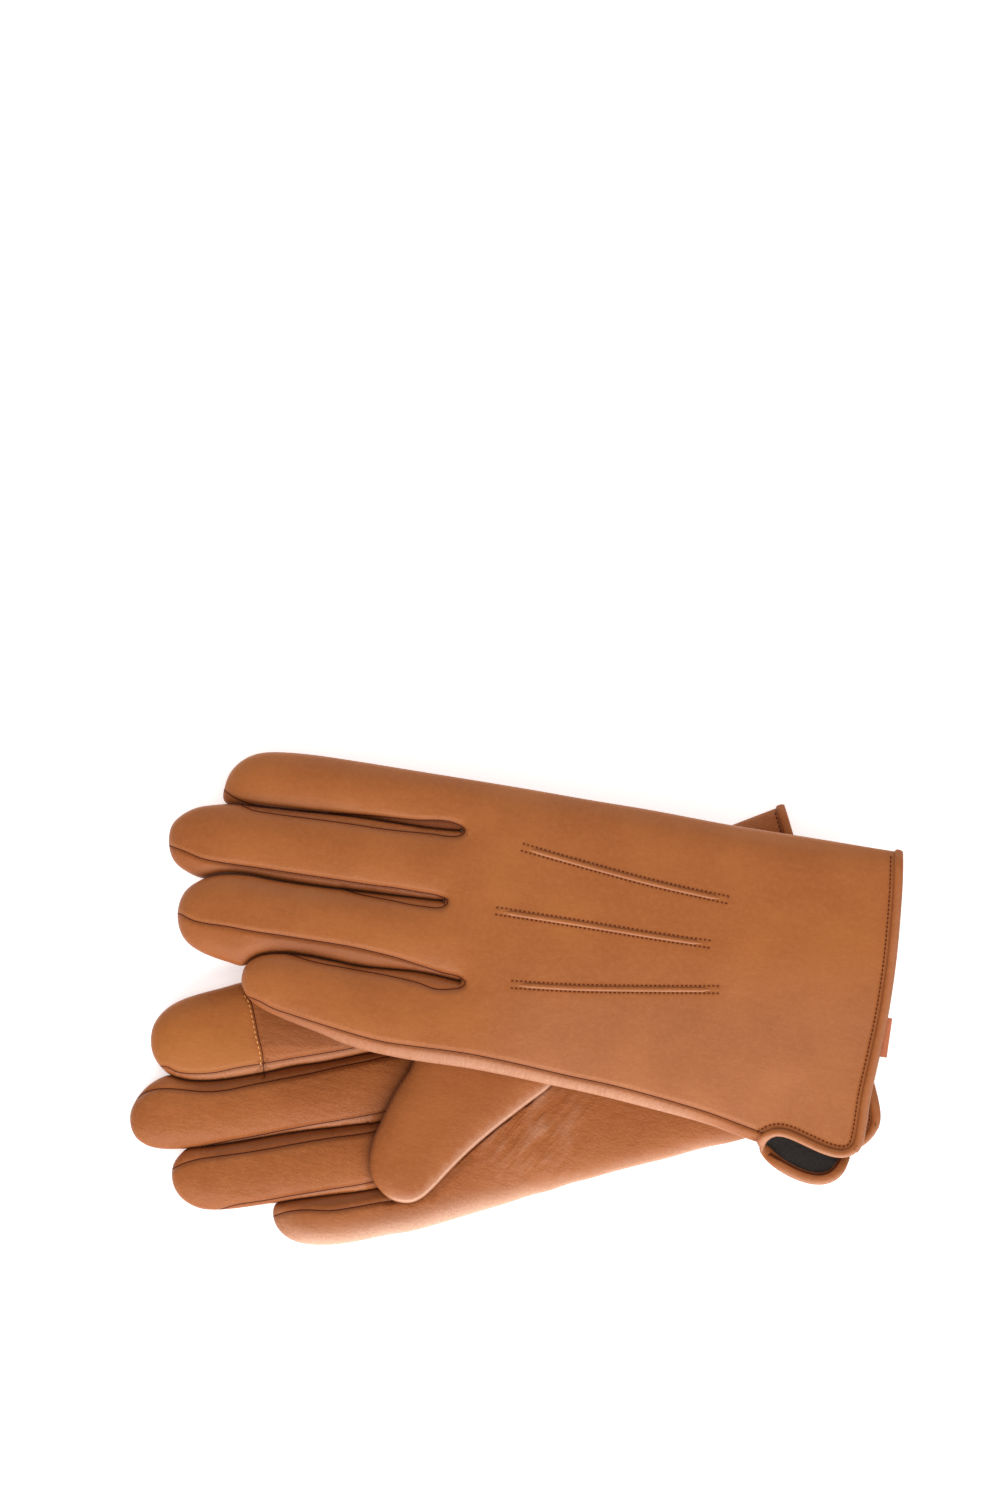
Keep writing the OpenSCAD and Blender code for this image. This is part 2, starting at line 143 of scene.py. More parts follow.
RIGHT = dict(
    edge_hi=[(88.0, 63.9), (80, 60.9), (71, 57.4), (60, 53), (30, 41.5), (0, 30), (-25, 19),
             (-45, 12.5), (-60, 10.5), (-75, 8.5), (-91.4, 5.3), (-96.8, 3.7), (-105.1, 1.5),
             (-111.4, -0.7), (-115.9, -3.4), (-119.1, -6.8), (-120.7, -9.9), (-121.2, -13.7),
             (-120.9, -17.6), (-119.7, -20.4), (-117.8, -23)],
    slits=[[(-115.3, -25.2), (-111.4, -26.8), (-106.4, -27.5), (-100, -27.4), (-93.6, -26.6),
            (-84.1, -24.9), (-74.6, -22.8), (-65, -21.4), (-55.5, -19.5), (-51.7, -18.6),
            (-35.8, -16.1)],
           [(-110, -49.4), (-106.4, -49), (-100, -48.4), (-93.6, -47.5), (-87.3, -46.5),
            (-77.7, -44.9), (-68.2, -43.6), (-61.8, -43), (-55.5, -42.2), (-44.7, -41.1),
            (-32.3, -37.9)],
           [(-80.3, -67.8), (-74.6, -66.9), (-61.8, -65.3), (-52.3, -64.3), (-44, -62.8),
            (-38, -61.2), (-32, -59.5)]],
    tips=[[(-115.9, -25.6), (-119.7, -27.4), (-123.5, -30.3), (-126.4, -34.1), (-128, -37.3),
           (-128.2, -39.8), (-127.7, -43), (-126.1, -45.9), (-123.5, -47.8), (-121, -48.9),
           (-117.2, -49.5), (-112.6, -49.6)],
          [(-110.4, -50.4), (-112.1, -51.9), (-113.7, -54.4), (-114.3, -57.6), (-114.1, -60.2),
           (-113, -63.4), (-110.8, -66.2), (-107.6, -68.4), (-104.5, -69.6), (-100, -70),
           (-93.6, -69.6), (-87.3, -68.8)]],
    edge_lo=[(-81, -70.3), (-80.9, -72.6), (-80, -75.4), (-77.7, -78.3), (-74.6, -80.4),
             (-70.1, -81.7), (-65, -82.1), (-58.7, -81.8), (-52.3, -80.8), (-42.8, -78.9),
             (-35.4, -77.8), (-28.8, -76.1), (-22.1, -74.1), (-15.5, -72.1), (-8.8, -70.1),
             (-2.2, -68.1), (4.5, -65.8), (11.1, -64.2), (17.8, -61.8), (24.4, -60.2),
             (31.1, -58.2), (37.7, -56.5), (44.4, -54.8), (51, -53.2), (57.7, -51.2),
             (64.3, -49.5), (71, -48.2), (80, -45.6), (87, -43.6)],
    top_hem=[(89.3, -44.4), (92, -46.8), (97.5, -49.6), (104, -50.8), (111, -50.1), (115.8, -47.6),
             (118.8, -44.3), (120.0, -40), (119.4, -35), (118.2, -30), (116.6, -24.5), (112.3, -12),
             (106.5, 6), (100, 25), (94, 43), (90.5, 55.5)],
    low_hem=[(89.8, -42.9), (92.8, -41.3), (98, -40.2), (105, -40.4), (111, -40.8), (115, -38.6),
             (117.2, -33), (117.2, -28), (116.0, -23), (111.8, -12), (106, 6), (99.6, 25),
             (93.8, 43), (90.3, 55.5)],
    seams=[[(-118.6, -22.6), (-115.6, -22.9), (-112.7, -24.4), (-107.6, -25.1), (-100.0, -24.7),
            (-92.4, -23.1), (-84.1, -21.7), (-74.6, -20.0), (-65.0, -18.4), (-55.5, -16.7),
            (-44, -14.2), (-37, -13.2), (-33.6, -15.8), (-36, -18.4), (-44.0, -19.6),
            (-49.1, -20.8), (-58.7, -22.7), (-68.2, -24.9), (-77.7, -26.8), (-87.3, -28.7),
            (-96.8, -30.6), (-103.2, -31.0), (-110.2, -30.4), (-115.3, -30.0), (-120.3, -30.4),
            (-124.0, -31.8), (-126.0, -33.4)],
           [(-103.5, -48.7), (-98.7, -47.5), (-87.3, -45.5), (-77.7, -43.7), (-68.2, -42.0),
            (-55.5, -39.9), (-44.7, -37.9), (-33, -34.9), (-29.6, -37.6), (-33, -40.8),
            (-44.7, -43.6), (-49.1, -44.7), (-61.8, -46.3), (-71.4, -47.8), (-80.9, -49.5),
            (-90.5, -51.0), (-100.0, -52.2), (-105.1, -52.9), (-110.2, -54.3), (-114.1, -56.2)],
           [(-98, -69.8), (-93.6, -68.4), (-84.1, -67.0), (-74.6, -65.4), (-61.8, -63.4),
            (-49.1, -61.3), (-40, -58.4), (-32, -56.6), (-28.4, -58.6), (-31, -61.4),
            (-36, -64.6), (-39.6, -67.0), (-45.9, -68.1), (-55.5, -69.7), (-61.8, -70.5),
            (-71.4, -70.2), (-77.1, -71.0), (-81.0, -72.4)]],
    splits=[[(-91.2, 5.6), (-95.8, -26.9)], [(-45.2, -17.6), (-49.6, -41.7)],
            [(-47.9, -41.4), (-52.2, -64.3)], [(-44.1, -62.9), (-49.2, -80.2)]],
)
PATCH_SEAM = [(-90.6, 5.4), (-90.4, 2.2), (-88.6, -0.7), (-87.2, -6.4), (-86.0, -12.5),
              (-84.7, -18), (-84.1, -25.2)]

THUMBS = dict(
    left=[(-50, 46), (-100, 48), (-122, 47.2), (-131, 46.3), (-138, 44.3),
          (-142.6, 39.5), (-144.2, 33.3), (-143, 27), (-138.4, 22.2), (-129.8, 20.2),
          (-118, 19), (-104, 18), (-85, 21), (-68, 26), (-55, 35)],
    right=[(31.6, 13.1), (4, 15.9), (-24.3, 17.9), (-30, 2), (-32.6, -14),
           (-35.0, -22.7), (-37.7, -26.9), (-40.2, -30.9), (-42.8, -36.0),
           (-44.9, -40.5), (-47.2, -45.5), (-48.5, -50.6), (-48.8, -55.7),
           (-47.8, -60.2), (-45.5, -63.7), (-42.2, -66.6), (-38.3, -67.9),
           (-34.6, -67.8), (-31.2, -66.2), (-27.4, -62.8), (-22.1, -57.2),
           (-16.5, -51.6), (-8.4, -44.5), (2.9, -35.7), (12, -28.5), (22, -15),
           (30, 2)],
)


def drawn_out(plan, side):
    """The fingertips drawn out a little, to make up for the smoothing of the outline."""
    def fit(p):
        x, y = p
        t = min(max((-x - 60) / 55, 0), 1)
        low = min(max((-x - 40) / 80, 0), 1) * min(max((-y - 28) / 18, 0), 1) * (side == "right")
        return (x - 0.75 * t, y - 0.8 * low)
    for key, value in plan.items():
        if isinstance(value[0][0], tuple):
            plan[key] = [[fit(p) for p in line] for line in value]
        else:
            plan[key] = [fit(p) for p in value]


drawn_out(LEFT, "left")
drawn_out(RIGHT, "right")
LEFT_AT, LEFT_TURN = (120.5, -0.7), math.radians(-8.1)      # the middle of the left hem


def turned_to(points, at, angle):
    """Points in a glove's own frame, turned and put at a place in the shared frame."""
    c, s = math.cos(angle), math.sin(angle)
    return [(at[0] + x * c - y * s, at[1] + x * s + y * c) for x, y in points]


THUMBS["left"] = turned_to(THUMBS["left"], LEFT_AT, LEFT_TURN)

# the three raised points on the left glove's back
POINTS = [
    [(2.1, 50.4), (24.1, 44.2), (46.9, 38.1), (69.9, 33.0)],
    [(-6.5, 29.3), (20.0, 25.2), (46.9, 20.8), (63.9, 18.3)],
    [(-1.5, 4.9), (20.0, 3.7), (46.9, 3.3), (66.8, 3.2)],
]


# ---- sizes that several pieces share, in mm ----------------------------------------------

EDGE_STEP, SEAM_STEP = 0.95, 0.9        # between points along edges and along seams
GROOVE, PUFF = 0.5, 0.16                # the depth of a seam, and the leather's rise beside it
BIND_W = dict(hem=1.5, dorsal=1.3, bend=1.7, palm=2.1)      # the binding's half widths
ROW_AT, ROW_GAP = dict(left=2.75, right=2.3), 1.25          # stitches from the hem and a point
DROOP = dict(index=13, middle=11, ring=9, little=5.5)       # the left fingers' fall, in degrees
FULL, THUMB_FULL = 0.575, 0.6           # how much of the solved swell the gloves keep
REACH = dict(hand=8.5, thumb=6.6)       # how far from its edge a sheet goes on rising
SOFT = dict(left=0.96, right=0.95)      # what is left of the upper sheet's rise, lying down
SOFT_LOW = 0.86                         # the same for the lower sheet
CUFF_FLATTER, CUFF_FROM = 0.38, 34      # how much flatter the hem is, and from how far in
STRIP_WIDE, THUMB_STRIP_WIDE = 4.2, 3.2     # side strips on the undersides
FAR = 9.0                               # a distance at which nothing shows of a seam
LATTICE = dict(top=1.8, low=2.7, thumb_top=1.8, thumb_low=2.6, lining=4.2)      # mesh spacing
# pitch, length and thread radius of the rows of stitches
STITCHES = dict(hem=(1.45, 0.95, 0.24), point=(1.5, 0.85, 0.2), patch=(1.75, 1.15, 0.2))


# ---- plan geometry ---------------------------------------------------------------------

def unit(v):
    return v / np.linalg.norm(v, axis=-1, keepdims=True)


def arclength(line):
    return np.concatenate([[0], np.cumsum(np.hypot(*np.diff(line, axis=0).T))])


def at_length(line, s, t):
    """The line's columns at lengths t, where s holds its own lengths."""
    return np.stack([np.interp(t, s, column) for column in line.T], 1)


def resample(points, step):
    """The line again, with its points at even steps."""
    p = np.asarray(points, float)
    s = arclength(p)
    return at_length(p, s, np.linspace(0, s[-1], max(1, int(round(s[-1] / step))) + 1))


def spline(points, step=1.0, closed=False):
    """Centripetal Catmull-Rom through the points, resampled to even steps."""
    p = np.asarray(points, float)
    if closed:
        p = np.vstack([p[-1], p, p[0], p[1]])
    else:
        p = np.vstack([2 * p[0] - p[1], p, 2 * p[-1] - p[-2]])
    out = []
    for a, b, c, d in zip(p[:-3], p[1:-2], p[2:-1], p[3:]):
        t1 = max(np.linalg.norm(b - a), 1e-6) ** 0.5
        t2 = t1 + max(np.linalg.norm(c - b), 1e-6) ** 0.5
        t3 = t2 + max(np.linalg.norm(d - c), 1e-6) ** 0.5
        t = np.linspace(t1, t2, 12, endpoint=False)[:, None]
        a1 = (t1 - t) / t1 * a + t / t1 * b
        a2 = (t2 - t) / (t2 - t1) * b + (t - t1) / (t2 - t1) * c
        a3 = (t3 - t) / (t3 - t2) * c + (t - t2) / (t3 - t2) * d
        b1 = (t2 - t) / t2 * a1 + t / t2 * a2
        b2 = (t3 - t) / (t3 - t1) * a2 + (t - t1) / (t3 - t1) * a3
        out.append((t2 - t) / (t2 - t1) * b1 + (t - t1) / (t2 - t1) * b2)
    out.append(p[-2][None])
    return resample(np.vstack(out), step)


def smooth_path(p, n=4):
    """The line with its small corners smoothed away; its ends stay."""
    for _ in range(n):
        p = np.vstack([p[:1], (p[:-2] + 2 * p[1:-1] + p[2:]) / 4, p[-1:]])
    return p


def shifted(poly, by):
    """The line moved sideways, to its left, by the same distance all along (or one per point)."""
    g = np.gradient(poly, axis=0)
    n = np.stack([-g[:, 1], g[:, 0]], 1) / np.maximum(np.hypot(*g.T), 1e-9)[:, None]
    return poly + n * np.reshape(by, (-1, 1))


def nearest(line, point):
    """The index of the line's point that is nearest to a place."""
    return int(np.hypot(*(line - point).T).argmin())


def between(line, a, b):
    """The stretch of a line from the place nearest a to the place nearest b."""
    i, j = sorted((nearest(line, a), nearest(line, b)))
    return line[i:j + 1]


def long_ends(line, by=0.8):
    """The line carried straight on at both ends."""
    return np.vstack([line[0] + unit(line[0] - line[1]) * by, line,
                      line[-1] + unit(line[-1] - line[-2]) * by])


def inside(points, polygon, chunk=4000):
    """Which points lie inside a closed polygon."""
    a, b = polygon, np.roll(polygon, -1, axis=0)
    out = np.zeros(len(points), bool)
    for i in range(0, len(points), chunk):
        p = points[i:i + chunk]
        cross = (a[None, :, 1] > p[:, None, 1]) != (b[None, :, 1] > p[:, None, 1])
        dy = np.where(np.abs(b[:, 1] - a[:, 1]) < 1e-12, 1e-12, b[:, 1] - a[:, 1])
        x = a[:, 0] + (p[:, 1:2] - a[:, 1]) * (b[:, 0] - a[:, 0]) / dy
        out[i:i + chunk] = (cross & (p[:, 0:1] < x)).sum(1) % 2 == 1
    return out


def outward(loop, at=5, by=1.0):
    """The direction out of a closed line at each of its points."""
    away = shifted(loop, 1) - loop
    return -away if inside((loop + by * away)[at][None], loop)[0] else away


def to_line(points, line, chunk=3000):
    """Distance from each point to the polyline, and how far along the line the nearest place is."""
    a, b = line[:-1], line[1:]
    d = b - a
    ll = np.maximum((d * d).sum(1), 1e-12)
    s = np.concatenate([[0], np.cumsum(np.sqrt(ll))])[:-1]
    dist, along = np.empty(len(points)), np.empty(len(points))
    for i in range(0, len(points), chunk):
        p = points[i:i + chunk, None]
        t = np.clip(((p - a) * d).sum(2) / ll, 0, 1)
        q = np.hypot(*np.moveaxis(p - a - t[..., None] * d, 2, 0))
        k = q.argmin(1)
        r = np.arange(len(k))
        dist[i:i + chunk] = q[r, k]
        along[i:i + chunk] = s[k] + t[r, k] * np.sqrt(ll[k])
    return dist, along


def nearest_of(p, loop):
    """For each point, the index of the loop's nearest point."""
    return np.hypot(p[:, None, 0] - loop[None, :, 0], p[:, None, 1] - loop[None, :, 1]).argmin(1)


def fall(d, width, power=2):
    """From 1 on a line to 0 well away from it."""
    return np.exp(-(d / width) ** power)


def ramp(x, a, b):
    """From 0 at a to 1 at b, smooth at both."""
    t = np.clip((x - a) / (b - a), 0, 1)
    return t * t * (3 - 2 * t)


def window(x, a, b, c, d):
    """From 0 at a to 1 at b, and back from 1 at c to 0 at d."""
    return ramp(x, a, b) * (1 - ramp(x, c, d))


class Spread:
    """Collects points that keep at least a given distance from those already in."""

    def __init__(self):
        self.pts, self.grid = [], {}

    def near(self, p, r):
        n = math.ceil(r)
        cx, cy = math.floor(p[0]), math.floor(p[1])
        for i in range(cx - n, cx + n + 1):
            for j in range(cy - n, cy + n + 1):
                for k in self.grid.get((i, j), ()):
                    q = self.pts[k]
                    if (q[0] - p[0]) ** 2 + (q[1] - p[1]) ** 2 < r * r:
                        return k
        return None

    def add(self, points, r):
        """The numbers of the points: a place within r of an earlier point takes its number."""
        ids = []
        for p in points:
            k = self.near(p, r)
            if k is None:
                k = len(self.pts)
                self.pts.append((float(p[0]), float(p[1])))
                self.grid.setdefault((math.floor(p[0]), math.floor(p[1])), []).append(k)
            ids.append(k)
        return ids


def cross_of(co, tri):
    """Twice each triangle's area, as a number in plan and as its normal in 3-D."""
    return np.cross(co[tri[:, 1]] - co[tri[:, 0]], co[tri[:, 2]] - co[tri[:, 0]])


SEAM_ROWS = (0.45, 1.0, 1.9)
EDGE_ROWS = (0.22, 0.65, 1.3, 2.2)


def plan_mesh(closed, opened, seams, splits, lattice=1.8, guides=(), edge_rows=EDGE_ROWS):
    """Triangles over one flat sheet, with points in rows beside its seams, guides and edge.

    closed is the edge that meets the other sheet, opened is the free edge, and no triangle
    crosses a seam or a split.
    """
    outline = np.vstack([closed, opened[1:-1]]) if opened is not None else closed[:-1]
    bag = Spread()
    ids = bag.add(outline, 0.02)
    ids = [k for i, k in enumerate(ids) if k != ids[i - 1]]
    edges = [(ids[i], ids[(i + 1) % len(ids)]) for i in range(len(ids))]
    n_outline = len(edges)
    for line in list(seams) + list(splits):
        k = bag.add(line, 0.12)
        k = [v for i, v in enumerate(k) if i == 0 or v != k[i - 1]]
        edges += list(zip(k[:-1], k[1:]))
    for line in list(seams) + list(guides):
        for r in SEAM_ROWS:
            for side in (1, -1):
                p = shifted(line, side * r)
                bag.add(p[inside(p, outline)], min(0.34, 0.7 * r))
    for line in guides:
        bag.add(line, 0.3)
    for r in edge_rows:
        p = shifted(closed, r)
        p = p[inside(p, outline)]
        bag.add(p[to_line(p, closed)[0] > 0.85 * r], max(0.16, 0.45 * r))
    low, high = outline.min(0), outline.max(0)
    xs = np.arange(low[0], high[0], lattice)
    ys = np.arange(low[1], high[1], lattice * 0.866)
    gx, gy = np.meshgrid(xs, ys)
    gx = gx + (np.arange(len(ys)) % 2)[:, None] * lattice / 2
    p = np.stack([gx.ravel(), gy.ravel()], 1)
    bag.add(p[inside(p, outline)], 0.62 * lattice)
    got = delaunay_2d_cdt([Vector(q) for q in bag.pts], edges, [], 0, 1e-5)
    co = np.array([tuple(v) for v in got[0]])
    tri = np.array([f for f in got[2] if len(f) == 3])
    tri = tri[inside(co[tri].mean(1), outline)]
    used = np.unique(tri)
    back = -np.ones(len(co), int)
    back[used] = np.arange(len(used))
    p, tri = co[used], back[tri]
    area = cross_of(p, tri)
    tri[area < 0] = tri[area < 0][:, ::-1]
    blocked = {(min(back[a], back[b]), max(back[a], back[b]))
               for (a, b), orig in zip(got[1], got[4]) if any(o >= n_outline for o in orig)}
    return dict(p=p, t=tri, blocked=blocked, closed=closed, opened=opened)


def patches(sheet):
    """Numbers the areas that the seam and split lines cut the sheet into."""
    t, blocked = sheet["t"], sheet["blocked"]
    parent = list(range(len(t)))

    def find(i):
        while parent[i] != i:
            parent[i] = parent[parent[i]]
            i = parent[i]
        return i

    seen = {}
    for i, tri in enumerate(t):
        for a, b in ((tri[0], tri[1]), (tri[1], tri[2]), (tri[2], tri[0])):
            e = (min(a, b), max(a, b))
            if e in blocked:
                continue
            if e in seen:
                parent[find(i)] = find(seen[e])
            else:
                seen[e] = i
    return np.array([find(i) for i in range(len(t))])


def solve_swell(sheet, reach):
    """Height field of a slack pillow: -lap(f) + f / reach^2 = 1, f = 0 on the closed edge."""
    p, t = sheet["p"], sheet["t"]
    n = len(p)
    fixed = to_line(p, sheet["closed"])[0] < 1e-3
    i0, i1, i2 = t.T
    rows, cols, vals = [], [], []
    for a, b, c in ((i0, i1, i2), (i1, i2, i0), (i2, i0, i1)):
        u, v = p[b] - p[a], p[c] - p[a]
        cot = (u * v).sum(1) / np.maximum(np.abs(np.cross(u, v)), 1e-6)
        w = 0.5 * np.clip(cot, -5, 20)
        rows += [b, c, b, c]
        cols += [c, b, b, c]
        vals += [-w, -w, w, w]
    rows, cols, vals = map(np.concatenate, (rows, cols, vals))
    area = 0.5 * np.abs(cross_of(p, t))
    mass = np.bincount(t.ravel(), np.repeat(area / 3, 3), n)
    diag = np.bincount(rows[rows == cols], vals[rows == cols], n) + mass / reach ** 2

    def mul(x):
        y = np.bincount(rows, vals * x[cols], n) + mass / reach ** 2 * x
        y[fixed] = 0
        return y

    b = mass.copy()
    b[fixed] = 0
    x = np.zeros(n)
    r = b - mul(x)
    z = r / diag
    q = z.copy()
    rz = r @ z
    for _ in range(900):
        aq = mul(q)
        alpha = rz / (q @ aq)
        x += alpha * q
        r -= alpha * aq
        if np.abs(r).max() < 1e-7:
            break
        z = r / diag
        new = r @ z
        q = z + new / rz * q
        rz = new
    return np.sqrt(2 * np.maximum(x, 0))


def lattice_noise(p, size, seed):
    """Smooth noise from -1 to 1 over a plan lattice, the same on every run."""
    q = p / size
    i = np.floor(q)
    f = q - i
    f = f * f * (3 - 2 * f)

    def corner(dx, dy):
        v = np.sin((i[:, 0] + dx) * 127.1 + (i[:, 1] + dy) * 311.7 + seed * 74.7) * 43758.5453
        return 2 * (v - np.floor(v)) - 1

    top = corner(0, 1) * (1 - f[:, 0]) + corner(1, 1) * f[:, 0]
    low = corner(0, 0) * (1 - f[:, 0]) + corner(1, 0) * f[:, 0]
    return low * (1 - f[:, 1]) + top * f[:, 1]


def kept_beside(chain, slit, sign, by=0.04):
    """Keeps a finger's edge on its own side of a gap, so that the two edges never cross."""
    line = spline(slit, 0.5)
    y = np.interp(chain[:, 0], line[:, 0], line[:, 1])
    near = (chain[:, 0] > line[0, 0]) & (chain[:, 0] < line[-1, 0] - 0.5)
    near &= np.abs(chain[:, 1] - y) < 0.6
    crossed = near & (sign * (chain[:, 1] - y) < by)
    chain[crossed, 1] = y[crossed] + sign * by


def glove_edges(plan):
    """The closed edge from the hem on the index side, round the fingers, to the slit in the
    cuff, and the free edges of the upper and the lower sheet."""
    slits = [np.array(s, float) for s in plan["slits"]]
    wide = [np.linspace(0.03, 0.05, len(s)) for s in slits]
    hi = [shifted(s, w) for s, w in zip(slits, wide)]
    lo = [shifted(s, -w) for s, w in zip(slits, wide)]
    chains = [np.vstack([plan["edge_hi"], hi[0]])]
    for k in (0, 1):
        chains.append(np.vstack([lo[k][::-1], plan["tips"][k], hi[k + 1]]))
    chains.append(np.vstack([lo[2][::-1], plan["edge_lo"]]))
    chains = [smooth_path(spline(c, EDGE_STEP), 5) for c in chains]
    for k, s in enumerate(slits):
        kept_beside(chains[k], s, 1)
        kept_beside(chains[k + 1], s, -1)
    closed = np.vstack(chains)
    return (closed,) + tuple(spline(np.vstack([closed[-1], plan[hem], closed[0]]), EDGE_STEP)
                             for hem in ("top_hem", "low_hem"))


def drop_field(side, p, finger_of):
    """How far the left glove's fingers sag below the hand, in mm."""
    if side == "right":
        return np.zeros(len(p))
    at, out = map(np.array, zip(*(hinge(side, f) for f in FINGERS)))
    slope = np.array([math.tan(math.radians(DROOP[f])) for f in FINGERS])
    mean = unit(out.mean(0))
    across = np.array([mean[1], -mean[0]])
    order = np.argsort(at @ across)
    hinges = (at @ across)[order]

    def sag(u, w=18.0):
        """Level, then a bend w long, then a straight slope of 1."""
        v = np.clip(u + w / 2, 0, None)
        return np.where(v < w, v * v / (2 * w), v - w / 2)

    drop = (np.interp(p @ across, hinges, slope[order])
            * sag(p @ mean - np.interp(p @ across, hinges, (at @ mean)[order])))
    for k in range(len(FINGERS)):
        m = finger_of == k
        u = (p[m] - at[k]) @ out[k]
        w = ramp(u, -4, 26)
        drop[m] = slope[k] * sag(u) * w + drop[m] * (1 - w)
    return drop


def finger_index(side, p, plan):
    """0 to 3 for points beyond the lines where the fingers' pieces end, else -1."""
    res = -np.ones(len(p), int)
    slits = [np.array(s, float) for s in plan["slits"]]
    rank = np.zeros(len(p), int)
    for s in slits:
        line = np.vstack([s[0] + (s[0] - s[1]) * 20, s, s[-1] + (s[-1] - s[-3]) * 20])
        line = line[np.argsort(line[:, 0])]
        rank += p[:, 1] < np.interp(p[:, 0], line[:, 0], line[:, 1])
    # beside the edge, the place along it says which finger it is
    closed = plan["closed"]
    away, along = to_line(p, closed)
    length = arclength(closed)
    by_edge = sum((along > length[nearest(closed, s[-1])]).astype(int) for s in slits)
    rank = np.where(away < 1.0, by_edge, rank)
    for k, f in enumerate(FINGERS):
        a, b = np.array(plan["splits"][k], float)[[0, -1]]
        d = b - a
        side_of = (p[:, 0] - a[0]) * d[1] - (p[:, 1] - a[1]) * d[0]
        _, out = hinge(side, f)
        sign = np.sign(out[0] * d[1] - out[1] * d[0])
        res[(rank == k) & (side_of * sign > 0)] = k
    return res


def seam_fields(p, seams):
    """Each point's distance from the nearest seam, and its place along that seam."""
    d, s = np.full(len(p), 1e3), np.zeros(len(p))
    for i, line in enumerate(seams):
        di, si = to_line(p, line)
        m = di < d
        d[m], s[m] = di[m], si[m] + 37.3 * i
    return d, s


# Painted shade and shine, as one level from -1, palest, to 1, darkest, that the leather's shader
# reads.
HEM_SHADE, ROW_SHADE, UNDER_LEFT = 0.45, 0.16, 0.26
CONTACT_SHADE, THUMB_SHADE, THUMB_SHINE = (0.62, 0.6), 0.35, 0.55
ON_SEAM = 0.05
# for the three gaps: above the gap's middle line, then below it
FORK_SHADE = dict(left=((0.72, 0.42, 0.30), (0.0, 0.0, 0.0)),
                  right=((-0.1, -0.1, -0.08), (0.40, 0.34, 0.34)))


def fork_shade(side, plan, p):
    """The painted shade inside the gaps between the fingers; below 0, a painted light where it is
    lit.
    """
    deep = np.zeros(len(p))
    x, y = p.T
    for k, slit in enumerate(plan["slits"]):
        slit = np.array(slit, float)
        seam = spline(plan["seams"][k], 1.0)
        d = to_line(p, spline(slit, 1.0))[0]
        end = int(seam[:, 0].argmax())          # the seam turns back at the crotch
        tip = slit[0, 0]
        above = y > np.interp(x, slit[:, 0], slit[:, 1])
        beside = (x < seam[end, 0]) & (x > tip - 1)
        for row, part in enumerate((seam[:end + 1], seam[end:])):
            part = part[np.argsort(part[:, 0])]
            y_seam = np.interp(x, part[:, 0], part[:, 1])
            if row == 0:
                m = beside & above & (y < y_seam + ON_SEAM)
            else:
                m = beside & ~above & (y > y_seam - ON_SEAM)
            level = FORK_SHADE[side][row][k]
            # flat painted shade over the strip, and a darker painted line of shade along the gap
            flat = level * ramp(x, tip, tip + 14)
            line = 0.9 * fall(d, 0.3 if level <= 0 else 0.8)
            deep = np.where(m, np.where(line > 0.15, np.maximum(flat, line), flat), deep)
    return deep


def strip_shade(side, face, plan, p, edge_d):
    """The painted pale shine along the edge of the little finger's side; below 0 where it is
    painted.
    """
    x, y = p.T
    if face == "low":
        wide, level, top = (1.6, 0.12, 14) if side == "left" else (1.1, 0.34, -40)
        near = fall(edge_d, wide, 1.3) * (y < top)
        return -level * near * window(x, -88, -66, 50, 74)
    if side == "left":
        seam = spline(plan["seams"][3], 1.0)
        below = np.interp(x, seam[:, 0], seam[:, 1]) - y
        m = (below > -ON_SEAM) & (x > -88) & (x < 84)
        shine = 0.27 - 0.10 * (1 - ramp(x, -60, -20)) - 0.22 * ramp(x, 44, 76)
        shine *= 0.2 + 0.8 * ramp(below, 0.6, 3.4)
        # a faint painted shine over the lower half of the left glove's back
        soft = 0.045 * ramp(-y, -22, 12) * ramp(x, -20, 10)
        return -np.where(m, shine * ramp(x, -88, -75), soft)
    d = to_line(p, spline(plan["edge_lo"], 1.5))[0]
    near = fall(d, 3.6 - 2.0 * ramp(x, -25, 25), 1.3)
    return -(0.68 - 0.24 * ramp(x, -20, 30)) * near * window(x, -84, -66, 60, 84)


def thumb_contact_shadow(p):
    """The painted contact shadow: a dark line where the right thumb lies on the palm."""
    outline = spline(THUMBS["right"], EDGE_STEP, closed=True)
    d = to_line(p, outline)[0]
    left = (outward(outline)[nearest_of(p, outline)] @ np.array([-0.9, 0.3])) > 0
    far_side, near_side = CONTACT_SHADE
    dark = np.where(left, far_side * fall(d, 1.5, 1.5), near_side * fall(d, 0.7))
    # the thumb's own side seam, seen as a second line beside its edge
    edge = between(outline, (-16.5, -51.8), (-29.4, -65.5))
    seam = shifted(edge, 1.5)
    if inside(seam[5][None], outline)[0]:
        seam = shifted(edge, -1.5)
    return np.maximum(dark, near_side * fall(to_line(p, seam)[0], 0.45))


ROW_IS_FAINTER = 0.3        # a row of stitches counts as this much further off than a seam


